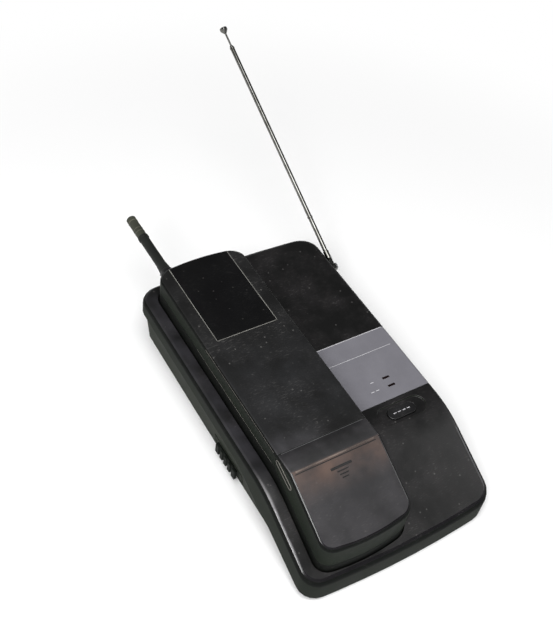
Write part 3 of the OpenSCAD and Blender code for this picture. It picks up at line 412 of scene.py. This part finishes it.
def plated(name, colour, tarnished, rough, drawn=(1, 1, 1)):
    """A plated metal: rough is a range of roughness, drawn squeezes the noise across the drawing."""
    made, tree, shader = new_material(name)
    place = add(tree, "ShaderNodeTexCoord").outputs["Object"]
    along = add(tree, "ShaderNodeMapping", {"Vector": place, "Scale": drawn})
    lines = add(tree, "ShaderNodeTexNoise",
                {"Vector": along.outputs[0], "Scale": 1 / DRAWN_LINE, "Detail": 2})
    spots = add(tree, "ShaderNodeTexNoise",
                {"Vector": place, "Scale": 1 / TARNISH, "Detail": 6, "Roughness": 0.65})
    age = add(tree, "ShaderNodeMapRange",
              {"Value": spots.outputs["Fac"], "From Min": 0.42, "From Max": 0.68})
    tone = add(tree, "ShaderNodeMix",
               {"Factor": age.outputs[0], 6: linear(colour), 7: linear(tarnished)}, data_type="RGBA")
    dullness = add(tree, "ShaderNodeMapRange",
                   {"Value": lines.outputs["Fac"], "From Min": 0.3, "From Max": 0.7,
                    "To Min": rough[0], "To Max": rough[1]})
    tree.links.new(tone.outputs[2], shader.inputs["Base Color"])
    tree.links.new(dullness.outputs[0], shader.inputs["Roughness"])
    shader.inputs["Metallic"].default_value = 1
    return made


# painted dark reflection: bright chrome darkened to stand in for the dim room it mirrors, and aged with tarnish in
# patches; its dark edges and light streak down the middle are what it mirrors
chrome = plated("chrome_plated_brass", "#7b7b78", "#55544f", (0.1, 0.22), drawn=(1, 0.05, 0.1))
# bluish and slightly dull
zinc = plated("zinc_plated_steel", "#a9abad", "#85867f", (0.25, 0.4))
# warm yellow, smooth
gold = plated("gold_flashed_bronze", "#d8b365", "#a98a4c", (0.18, 0.3))
# soft grey with clouds
tin = plated("tinned_steel", "#b4b6b5", "#90928f", (0.3, 0.5))
# a fine brushed grey
aluminium = plated("brushed_aluminium", "#a5a7a9", "#8c8e90", (0.28, 0.42), drawn=(1, 0.1, 1))
print("metals:", chrome.name, zinc.name, gold.name, tin.name, aluminium.name)

# %% [markdown]
# ## Rubbers and small plastics
# The antenna's sleeve and the feet are moulded rubber, dull because its surface scatters light; the
# sleeve's cap is a paler olive. The jacks are glass filled nylon, the lamp windows smoked red, the
# cells sit in a green sleeve. They all take the moulded recipe with their own colour and gloss.

# %% Rubbers and small plastics
# dull black that scatters the light
rubber = moulded("moulded_rubber", "#0e100e", "#161915", (0.6, 0.75), scratch=0.3, rub=0.2, shine=0.3)
# as dull, but olive and paler than the sleeve it closes
cap_rubber = moulded("olive_rubber", "#2f3129", "#3d3f35", (0.6, 0.75), scratch=0.3, rub=0.2, shine=0.3)
# the same rubber, gone dry and pale where it stands out
dry_rubber = moulded("dry_olive_rubber", "#4f4f45", "#6b6a5e", (0.65, 0.8), scratch=0.4, rub=0.2,
                     shine=0.2)
# soft mid grey with hardly any gloss
silicone = moulded("silicone_keypad", "#4a4a4e", "#545459", (0.55, 0.7), scratch=0.1)
# charcoal with a faint sheen from the glass in it
nylon = moulded("glass_filled_nylon", "#17171a", "#202024", (0.4, 0.5), scratch=0.2)
# brownish black and smooth
phenolic = moulded("black_phenolic", "#1d1c1b", "#262422", (0.35, 0.45), scratch=0.2)
# glossy, and black until a lamp lights it
smoked = moulded("smoked_polycarbonate_window", "#140c0c", "#1c0f0f", (0.12, 0.18), scratch=0.1, rub=0.1)
# deep red and glossy
red_epoxy = moulded("red_tinted_epoxy", "#8f2018", "#7a1a14", (0.2, 0.28), scratch=0.1)
# a tight green film with a sharp sheen
sleeve = moulded("shrink_sleeve", "#2f6a3c", "#2a5e36", (0.25, 0.35), scratch=0.2, rubbed="#7a9a7f")
# even dark grey
enamel = moulded("enamelled_steel_can", "#3a3b3e", "#46474a", (0.35, 0.45), scratch=0.2)
print("small plastics:", rubber.name, nylon.name, smoked.name)

# %% [markdown]
# ## Circuit boards
# The boards show only when the case is open: glass epoxy under a green solder mask, with copper tracks
# that stand out a little paler. The tracks could be drawn one by one; a brick pattern 2.5 mm wide gives
# their rhythm.

# %% Board laminate
TRACK = 2.5 * MM
# smooth green with paler tracks
laminate, tree, shader = new_material("solder_masked_laminate")
place = add(tree, "ShaderNodeTexCoord").outputs["Object"]
tracks = add(tree, "ShaderNodeTexBrick",
             {"Vector": place, "Scale": 1 / (4 * TRACK), "Mortar Size": 0.03,
              "Color1": linear("#1f5a35"), "Color2": linear("#235f3a"), "Mortar": linear("#3f8354")})
mottle = add(tree, "ShaderNodeTexNoise", {"Vector": place, "Scale": 1 / TRACK, "Detail": 3})
gloss = add(tree, "ShaderNodeMapRange", {"Value": mottle.outputs["Fac"], "To Min": 0.25, "To Max": 0.45})
tree.links.new(tracks.outputs["Color"], shader.inputs["Base Color"])
tree.links.new(gloss.outputs[0], shader.inputs["Roughness"])
print("laminate:", laminate.name)

# %% [markdown]
# ## Finishes for the other solids
# The remaining solids have the right shape already, so they stay and only take a material. The record
# names a slot for each of them, and one table from slot to finish covers them all.

# %% Paint the other solids
finish_of_slot = {
    "base_case": green_reflection_wall_plastic, "handset_case": handset_plastic, "button": button_plastic,
    "switch": phenolic, "lamp_window": smoked, "lamp": red_epoxy, "board": laminate, "shield": tin,
    "contact": gold, "jack": nylon, "rubber": rubber, "rubber_cap": cap_rubber, "screw": zinc,
    "chrome": chrome, "cell": sleeve, "mat": silicone, "speaker": enamel, "mic": aluminium,
    "label": label_sheet, "inlay": black_sheet, "key": key_plastic,
}
for node, slot in slot_of.items():
    for holder in frame["nodes"][node].material_slots:
        holder.material = finish_of_slot[slot]
print(len(slot_of), "solids painted")

# %% [markdown]
# ## Lines that lie on a surface
# Printed rules, worn edges and small moulded bars all follow the surface under them, which bends. They
# could be shrink-wrapped curves. Here each is a thin closed ribbon: points along its path are dropped
# onto the solid, and a flat section is swept through them, standing a few hundredths of a millimetre
# proud for ink and more for a moulded bar.

# %% Ribbon laid on a solid
STRIDE = 0.8
REACH = 300 * MM
SINK = 0.1 * MM


def surface_of(nodes):
    """A search tree over the faces of some solids."""
    corners = []
    faces = []
    for node in nodes:
        mesh = frame["nodes"][node].data
        first = len(corners)
        corners += [vertex.co.copy() for vertex in mesh.vertices]
        faces += [[first + k for k in polygon.vertices] for polygon in mesh.polygons]
    return BVHTree.FromPolygons(corners, faces)


def along_path(points, closed):
    """Places every STRIDE millimetres along straight runs between points, in metres."""
    ends = points[1:] + points[:1] if closed else points[1:]
    places = []
    for start, end in zip(points, ends):
        run = Vector(end) - Vector(start)
        steps = max(1, round(run.length / STRIDE))
        places += [(Vector(start) + run * k / steps) * MM for k in range(steps)]
    return places if closed else places + [Vector(points[-1]) * MM]


def laid_ribbon(name, points, width, rise, finish, nodes, way=(0, 0, -1), closed=False):
    """A ribbon through points, in mm, dropped along way onto solids; it rides with the first of them."""
    surface = surface_of(nodes)
    way = Vector(way)
    landed = []
    for place in along_path(points, closed):
        spot, normal, _, _ = surface.ray_cast(place - way * REACH, way)
        if spot is not None:
            landed.append((spot, normal))
    count = len(landed)
    edit = bmesh.new()
    rings = []
    for k, (spot, normal) in enumerate(landed):
        before = landed[k - 1][0] if closed or k > 0 else spot
        after = landed[(k + 1) % count][0] if closed or k < count - 1 else spot
        across = normal.cross(after - before).normalized() * width * MM / 2
        top = normal * rise * MM
        low = normal * SINK
        corners = (spot - across - low, spot + across - low, spot + across + top, spot - across + top)
        rings.append([edit.verts.new(corner) for corner in corners])
    for k in range(count if closed else count - 1):
        first = rings[k]
        second = rings[(k + 1) % count]
        for side in range(4):
            turn = (side + 1) % 4
            edit.faces.new((first[side], first[turn], second[turn], second[side]))
    if not closed:
        edit.faces.new(rings[0][::-1])
        edit.faces.new(rings[-1])
    bmesh.ops.recalc_face_normals(edit, faces=edit.faces)
    mesh = bpy.data.meshes.new(name)
    edit.to_mesh(mesh)
    edit.free()
    mesh.materials.append(finish)
    piece = bpy.data.objects.new(name, mesh)
    bpy.context.scene.collection.objects.link(piece)
    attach(piece, body_of[nodes[0]])


print("ribbons are dropped every", STRIDE, "mm")

# %% [markdown]
# ## Ink
# The printing on the sheets is a thick screen ink: pale, matte and a little uneven. The black sheet has
# a hair line all round its sides and front. The label has a line along its rear edge, a rule across it
# and plain ticks beside its lamps, and the page button has plain dashes.

# %% Lines on the sheets
# chalky off-white, broken a little where it has rubbed off
white_ink = moulded("screen_ink_white", "#c9c8cc", "#a9a8ac", (0.6, 0.7), scratch=0.3,
                    rubbed="#d8d7da", rub=0.2)
# the same ink worn thin over black
faded_ink = moulded("screen_ink_faded", "#94938d", "#6b6a66", (0.5, 0.65), scratch=0.3, rub=0.2)
INK_RISE = 0.03
low, high = span("inlay_panel")
left, right = low.x + 0.2, high.x - 0.2
front, rear = low.y + 0.2, high.y - 0.4
outline = [(left, rear, 0), (left, front, 0), (right, front, 0), (right, rear, 0)]
laid_ribbon("sheet_outline", outline, 0.42, INK_RISE, faded_ink, ["inlay_panel", "handset_back_shell"])

RULE_AHEAD = 15
low, high = span("label_band")
label_left, label_right = low.x + 0.4, high.x - 4.5
edge_level = high.y - 0.3
rule_level = high.y - RULE_AHEAD
laid_ribbon("label_rear_line", [(label_left, edge_level, 0), (label_right + 2, edge_level, 0)],
            0.5, INK_RISE, white_ink, ["label_band"])
laid_ribbon("label_rule", [(label_left + 3, rule_level, 0), (label_right - 1, rule_level, 0)],
            0.35, INK_RISE, white_ink, ["label_band"])
print("label from", round(label_left, 1), "to", round(label_right, 1), "mm")

# %% Ticks beside the lamps and on the page button
TICK = 2.4
TICK_PITCH = 3.6
TICK_GAP = 7
for count, window in enumerate(("lamp_window_phone", "lamp_window_charge"), start=1):
    low, high = span(window)
    level = (low.y + high.y) / 2
    for k in range(count):
        end = low.x - TICK_GAP - k * TICK_PITCH
        laid_ribbon(f"{window}_tick_{k + 1}", [(end - TICK, level, 0), (end, level, 0)],
                    0.55, INK_RISE, white_ink, ["label_band"])
DASHES = 4
DASH = 2.2
DASH_PITCH = 3.4
low, high = span("page_button")
middle = (low + high) / 2
for k in range(DASHES):
    start = middle.x + DASH_PITCH * (k - (DASHES - 1) / 2) - DASH / 2
    laid_ribbon(f"page_dash_{k + 1}", [(start, middle.y, 0), (start + DASH, middle.y, 0)],
                0.6, INK_RISE, white_ink, ["page_button"])
print("ticks at the lamps: 1 and 2; dashes on the button:", DASHES)

# %% [markdown]
# ## The battery door's relief
# A ridge stops the thumb, in front of it is a shadow line, painted as a near black ribbon, and a
# moulded arrow of bars, painted near black for its shade, shows which way the door slides. Its rear
# edge, where it meets the case, is dusty grey, and a shallow loop is moulded on each side as a second
# grip. They could be bump in the plastic, but they cast small shadows, so the bars and loops are solid
# ribbons, about 0.3 mm proud.

# %% Ridge, arrow and joint line
# pale brown, where the black has been rubbed through
rubbed_plastic = moulded("rubbed_abs_edge", "#3d3531", "#94857a", (0.45, 0.6), scratch=0.8,
                         rubbed="#b3a498", rub=0.3)
# pale grey, where an edge is rubbed through and dry
pale_plastic = moulded("worn_abs_edge", "#45423e", "#7d7972", (0.5, 0.65), scratch=0.8,
                       rubbed="#b9b4aa", rub=0.3)
# dusty grey, where two mouldings meet
joint_plastic = moulded("dusty_abs_joint", "#343436", "#515153", (0.55, 0.7), scratch=0.6,
                        rubbed="#7c7c7e")
# painted shade: near black, for the shadow line in front of the ridge and the shade in the arrow's bars
painted_shadow_plastic = moulded("abs_painted_shadow_black", "#0a0909", "#121010", (0.6, 0.7), rub=0.0)
low, high = span("battery_door")
door_left, door_right, door_rear = low.x + 3, high.x - 3, high.y
door_middle = (low.x + high.x) / 2


def door_bar(name, start, end, level, width, rise, finish):
    """A straight ribbon across the door."""
    laid_ribbon(name, [(start, level, 0), (end, level, 0)], width, rise, finish, ["battery_door"])


door_bar("door_ridge_edge", door_left + 1, door_right - 2, RIDGE_AT - 0.3, 0.7, 0.12, rubbed_plastic)
# painted shadow: a near black line in front of the ridge
door_bar("door_ridge_painted_shadow", door_left, door_right - 1, RIDGE_AT - 1.5, 0.6, 0.04, painted_shadow_plastic)
door_bar("door_joint_line", door_left, door_right, door_rear - 0.3, 0.45, 0.04, joint_plastic)
# each bar's length, its distance ahead of the ridge, and its width
arrow_bars = [(14, 6.4, 1.5), (7.4, 8.6, 0.7), (5.8, 10.4, 0.7), (4.2, 12.2, 0.7)]
# the bars are painted near black, a painted shade
for k, (length, ahead, width) in enumerate(arrow_bars, start=1):
    door_bar(f"door_arrow_bar_{k}", door_middle - length / 2, door_middle + length / 2, RIDGE_AT - ahead,
             width, 0.25, painted_shadow_plastic)
print("door from", round(door_left), "to", round(door_right), "mm")

# %% Grip loops on the door's sides
LOOP_R = 1.9
LOOP_STEPS = 6
OUTSIDE = 30
# the middles of the loop's two round ends, as y and z
loop_rear = Vector((-52, 58.4))
loop_front = Vector((-65.5, 53.8))
lean = math.atan2(loop_rear.y - loop_front.y, loop_rear.x - loop_front.x)
loop = []
for centre, first in ((loop_rear, lean - math.pi / 2), (loop_front, lean + math.pi / 2)):
    for k in range(LOOP_STEPS + 1):
        turn = first + math.pi * k / LOOP_STEPS
        loop.append((centre.x + LOOP_R * math.cos(turn), centre.y + LOOP_R * math.sin(turn)))
for side, way in (("left", 1), ("right", -1)):
    x = door_middle - way * OUTSIDE
    laid_ribbon(f"door_grip_loop_{side}", [(x, y, z) for y, z in loop], 0.5, 0.3, pale_plastic,
                ["battery_door"], way=(way, 0, 0), closed=True)
print("loops of", len(loop), "points")

# %% [markdown]
# ## Rubbed edges
# The handset's left upper edge, where the fingers close, has been rubbed through to a pale hair line,
# and so has the back shell's lower edge, where the case halves meet. The moulded finish greys every
# edge a little already; these are the worn ones.

# %% Rubbed edges of the handset
EDGE_IN = 0.7
EDGE_LEVEL = 60
SEAM_BELOW_BACK = 11
low, high = span("handset_back_shell")
edge = low.x + EDGE_IN
laid_ribbon("handset_edge", [(edge, door_rear + 3, EDGE_LEVEL), (edge, door_rear + 85, EDGE_LEVEL)],
            0.2, 0.02, pale_plastic, ["handset_back_shell"], way=(0.4, 0, -1))
seam = high.z - SEAM_BELOW_BACK + 0.3
for side, x, way in (("left", low.x, 1), ("right", high.x, -1)):
    laid_ribbon(f"handset_seam_{side}", [(x, door_rear + 2, seam), (x, door_rear + 95, seam)],
                0.3, 0.03, pale_plastic, ["handset_back_shell"], way=(way, 0, 0))
print("case seam at", round(seam, 1), "mm")

# %% [markdown]
# ## A frame round the slide knob
# The knob low on the left wall slides in a slot, and a low moulded frame marks how far it goes: the
# knob's own length and its travel at both ends.

# %% Knob frame
KNOB_TRAVEL = 4
FRAME_MIDDLE = 8.5
FRAME_HALF_HEIGHT = 5.4
low, high = span("slide_knob")
centre = (low + high) / 2
half_length = (high.y - low.y) / 2 + KNOB_TRAVEL + 1
corners = []
for ahead, above in ((1, 1), (-1, 1), (-1, -1), (1, -1)):
    corners.append((low.x, centre.y + ahead * half_length, FRAME_MIDDLE + above * FRAME_HALF_HEIGHT))
laid_ribbon("knob_frame", corners, 0.8, 0.3, green_reflection_wall_plastic, ["base_lower_shell"],
            way=(1, 0, 0), closed=True)
print("knob frame", round(2 * half_length, 1), "mm long")

# %% [markdown]
# ## Rings on the antennas
# Each chrome section is rolled in at its mouth so that the next can't fall out, and the lowest has a
# ferrule where it was crimped on its eye. These are turned shapes: a small profile, spun about the
# antenna's own axis. The rubber antenna has three fine moulding lines round its cap.

# %% Turned rings
RING_SIDES = 32
CREASE = math.radians(40)


def turned(name, profile, start, axis, finish, node):
    """A ring: profile lists (distance along axis, radius) in mm, spun about the axis from start."""
    axis = Vector(axis).normalized()
    across = axis.orthogonal().normalized()
    edit = bmesh.new()
    rings = []
    for k in range(RING_SIDES):
        spoke = Matrix.Rotation(2 * math.pi * k / RING_SIDES, 3, axis) @ across
        rings.append([edit.verts.new((Vector(start) + axis * d + spoke * r) * MM) for d, r in profile])
    count = len(profile)
    for k in range(RING_SIDES):
        first = rings[k]
        second = rings[(k + 1) % RING_SIDES]
        for j in range(count):
            turn = (j + 1) % count
            edit.faces.new((first[j], first[turn], second[turn], second[j]))
    bmesh.ops.recalc_face_normals(edit, faces=edit.faces)
    for face in edit.faces:
        face.smooth = True
    mesh = bpy.data.meshes.new(name)
    edit.to_mesh(mesh)
    edit.free()
    mesh.set_sharp_from_angle(angle=CREASE)
    mesh.materials.append(finish)
    piece = bpy.data.objects.new(name, mesh)
    bpy.context.scene.collection.objects.link(piece)
    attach(piece, body_of[node])


def bead(start, length, inner, outer):
    """The profile of a rolled bead: chamfered at both ends."""
    edge = min(0.3, length / 4)
    end = start + length
    return [(start, inner), (start, outer - edge), (start + edge, outer), (end - edge, outer),
            (end, outer - edge), (end, inner)]


print("rings have", RING_SIDES, "sides")

# %% Rings on the chrome sections and the cap
TUBE_R = 1.6
MIDDLE_R = 1.15
TUBE_END = 180
RING_SINK = 0.1
joint_of = {joint["name"]: joint for joint in frame["joints"]}
pivot = Vector(joint_of["antenna_pivot"]["pos_m"]) / MM
up_antenna = Vector(joint_of["antenna_middle_slide"]["axis"])
# each ring's node, its start from the pivot, its length, the radius under it and how far it is proud
antenna_rings = {
    "antenna_collar": ("antenna_tube", 7, 6, TUBE_R, 0.4),
    "antenna_ferrule": ("antenna_tube", 39, 1.6, TUBE_R, 0.3),
    "antenna_mouth": ("antenna_tube", TUBE_END - 1.8, 1.7, TUBE_R, 0.2),
    "antenna_middle_mouth": ("antenna_middle", TUBE_END + 0.3, 0.8, MIDDLE_R, 0.15),
}
for name, (node, start, length, radius, proud) in antenna_rings.items():
    profile = bead(start, length, radius - RING_SINK, radius + proud)
    turned(name, profile, pivot, up_antenna, chrome, node)
low, high = span("rubber_antenna_cap")
cap_start = Vector(((low.x + high.x) / 2, low.y, (low.z + high.z) / 2))
cap_r = (high.x - low.x) / 2
for k, ahead in enumerate((4, 7, 15), start=1):
    profile = bead(ahead, 0.8, cap_r - 0.2, cap_r + 0.15)
    turned(f"cap_line_{k}", profile, cap_start, (0, 1, 0), dry_rubber, "rubber_antenna_cap")
print("antenna pivot at", [round(v, 1) for v in pivot], "mm")

# %% [markdown]
# ## Figures on the keys
# The dial keys carry plain figures in dark ink, and the four function keys plain bars. The face looks
# down, so the text is turned half round about the length of the handset to read right from below. The
# built-in font is enough here: at this size a figure is a few strokes.

# %% Figures on the keys
FIGURE_HEIGHT = 6 * MM
FIGURE_RISE = 0.02 * MM
BAR = 5
BAR_PITCH = 1.6
# flat dark grey
dark_ink = moulded("pad_ink_dark", "#232325", "#303032", (0.6, 0.7), scratch=0.2, rub=0.0)
figures = {"key_star": "*", "key_hash": "#", **{f"key_{k}": str(k) for k in range(10)}}
for node, figure in figures.items():
    low, high = span(node)
    letter = bpy.data.curves.new(node + "_figure", "FONT")
    letter.body = figure
    letter.size = FIGURE_HEIGHT
    letter.align_x = "CENTER"
    letter.align_y = "CENTER"
    letter.extrude = FIGURE_RISE
    letter.materials.append(dark_ink)
    mark = bpy.data.objects.new(node + "_figure", letter)
    bpy.context.scene.collection.objects.link(mark)
    spot = Vector(((low.x + high.x) / 2, (low.y + high.y) / 2, low.z)) * MM
    mark.matrix_world = Matrix.Translation(spot) @ Matrix.Rotation(math.pi, 4, "Y")
    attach(mark, body_of[node])
bars = {"key_talk": 1, "key_redial": 1, "key_flash": 2, "key_channel": 3}
for node, count in bars.items():
    low, high = span(node)
    centre = (low + high) / 2
    for k in range(count):
        level = centre.y + BAR_PITCH * (k - (count - 1) / 2)
        ends = [(centre.x - BAR / 2, level, 0), (centre.x + BAR / 2, level, 0)]
        laid_ribbon(f"{node}_bar_{k + 1}", ends, 0.7, INK_RISE, dark_ink, [node], way=(0, 0, 1))
print(len(figures), "figures and bars on", len(bars), "keys")

# %% [markdown]
# ## Wires in the line jack
# A modular jack has sprung gold wires that rise from its floor to its roof, and they are what one sees
# on looking in. Each is a round wire 0.44 mm thick, 1.27 mm from the next: a curve with a bevel.

# %% Jack wires
WIRES = 4
WIRE_R = 0.22 * MM
WIRE_PITCH = 1.27
low, high = span("line_jack")
jack_x = (low.x + high.x) / 2
for k in range(WIRES):
    run = bpy.data.curves.new(f"jack_wire_{k + 1}", "CURVE")
    run.dimensions = "3D"
    run.bevel_depth = WIRE_R
    run.use_fill_caps = True
    x = jack_x + WIRE_PITCH * (k - (WIRES - 1) / 2)
    route = [(x, low.y + 2.2, 8), (x, low.y + 5, 7.2), (x, low.y + 9, 10), (x, high.y - 2.5, 13.6)]
    spline = run.splines.new("POLY")
    spline.points.add(len(route) - 1)
    for point, spot in zip(spline.points, route):
        point.co = (*(Vector(spot) * MM), 1)
    run.materials.append(gold)
    wire = bpy.data.objects.new(f"jack_wire_{k + 1}", run)
    bpy.context.scene.collection.objects.link(wire)
    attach(wire, body_of["line_jack"])
print(WIRES, "wires", WIRE_PITCH, "mm apart")

# %% [markdown]
# ## Floor
# The phone stands on a plain white table that keeps its shadow. A real studio table curves up behind
# into a lit wall; here the table fades to white instead, away from the phone, for rays that are seen
# and not for its light.

# %% Floor
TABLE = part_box("rubber_feet")[0].z
TABLE_HALF = 4
SHADOW_REACH = 0.25
WHITE_FROM = 0.5
floor_mesh = bpy.data.meshes.new("table")
edit = bmesh.new()
bmesh.ops.create_grid(edit, x_segments=1, y_segments=1, size=TABLE_HALF)
edit.to_mesh(floor_mesh)
edit.free()
floor = bpy.data.objects.new("table", floor_mesh)
floor.location.z = TABLE
bpy.context.scene.collection.objects.link(floor)
# a matte painted board, white and without gloss
table_white, tree, shader = new_material("white_table")
shader.inputs["Base Color"].default_value = linear("#f4f4f4")
shader.inputs["Roughness"].default_value = 0.9
shader.inputs["Specular IOR Level"].default_value = 0
place = add(tree, "ShaderNodeTexCoord").outputs["Object"]
away = add(tree, "ShaderNodeVectorMath", {0: place}, operation="LENGTH")
far = add(tree, "ShaderNodeMapRange",
          {"Value": away.outputs["Value"], "From Min": SHADOW_REACH, "From Max": WHITE_FROM},
          interpolation_type="SMOOTHSTEP")
rays = add(tree, "ShaderNodeLightPath").outputs
mirrored = add(tree, "ShaderNodeMath",
               {0: rays["Is Glossy Ray"], 1: rays["Is Transmission Ray"]}, operation="MAXIMUM")
shown = add(tree, "ShaderNodeMath",
            {0: rays["Is Camera Ray"], 1: mirrored.outputs[0]}, operation="MAXIMUM")
cover = add(tree, "ShaderNodeMath", {0: far.outputs[0], 1: shown.outputs[0]}, operation="MULTIPLY")
white = add(tree, "ShaderNodeEmission", {"Strength": 1})
blend = add(tree, "ShaderNodeMixShader",
            {0: cover.outputs[0], 1: shader.outputs["BSDF"], 2: white.outputs[0]})
tree.links.new(blend.outputs[0], tree.nodes["Material Output"].inputs["Surface"])
floor_mesh.materials.append(table_white)
print(f"table at {TABLE / MM:.1f} mm")

# %% [markdown]
# ## Light
# A black object is seen by what it reflects. The level tops look to the rear and half way up, where the
# sky is kept dim; the sloping parts look nearly overhead, where it is brighter. Near the horizon the
# sky is white like the table, so the chrome has something to mirror, but its right side is dim, so
# edges that turn right stay dark. The camera sees the sky white, but reflections see these bands: white
# to them too, it would turn the black plastic grey. A large softbox overhead gives the plain light, a
# small one from the left draws the streak along the base's left rim, and another from the right fills
# the far side.

# %% Sky
DARK_SIDE = 0.2
# height of each band as the sine of its angle, and its brightness
SKY = ((0.0, 1.0), (0.22, 1.0), (0.45, 0.14), (0.78, 0.12), (1.0, 0.55))
sky = bpy.data.worlds.new("studio")
bpy.context.scene.world = sky
sky.use_nodes = True
tree = sky.node_tree
tree.nodes.clear()
direction = add(tree, "ShaderNodeTexCoord").outputs["Generated"]
parts = add(tree, "ShaderNodeSeparateXYZ", {0: direction}).outputs
bands = add(tree, "ShaderNodeValToRGB", {"Fac": parts["Z"]})
stops = bands.color_ramp.elements
while len(stops) < len(SKY):
    stops.new(0.5)
for stop, (position, level) in zip(stops, SKY):
    stop.position = position
    stop.color = (level, level, level, 1)
dimmed = add(tree, "ShaderNodeMapRange",
             {"Value": parts["X"], "From Min": 0.1, "From Max": 0.6, "To Min": 1, "To Max": DARK_SIDE})
level = add(tree, "ShaderNodeMath",
            {0: bands.outputs["Color"], 1: dimmed.outputs[0]}, operation="MULTIPLY")
seen = add(tree, "ShaderNodeLightPath").outputs["Is Camera Ray"]
shown = add(tree, "ShaderNodeMath", {0: level.outputs[0], 1: seen}, operation="MAXIMUM")
glow = add(tree, "ShaderNodeBackground", {"Color": (1, 1, 1, 1), "Strength": shown.outputs[0]})
add(tree, "ShaderNodeOutputWorld", {"Surface": glow.outputs[0]})
print("sky bands:", len(SKY))

# %% Lamps
def softbox(name, place, size, watts):
    """A square area lamp at place, in metres, that faces the middle of the base."""
    lamp = bpy.data.lights.new(name, "AREA")
    lamp.shape = "SQUARE"
    lamp.size = size
    lamp.energy = watts
    holder = bpy.data.objects.new(name, lamp)
    bpy.context.scene.collection.objects.link(holder)
    holder.location = place
    holder.rotation_euler = (-Vector(place)).to_track_quat("-Z", "Y").to_euler()


softbox("overhead softbox", (-0.35, -0.3, 1.35), 0.9, 17)
softbox("left softbox", (-0.74, -0.52, 0.93), 0.35, 6)
softbox("right softbox", (1.2, -0.5, 1.0), 0.6, 4)
bpy.context.scene.view_settings.view_transform = "Standard"
print("three softboxes")
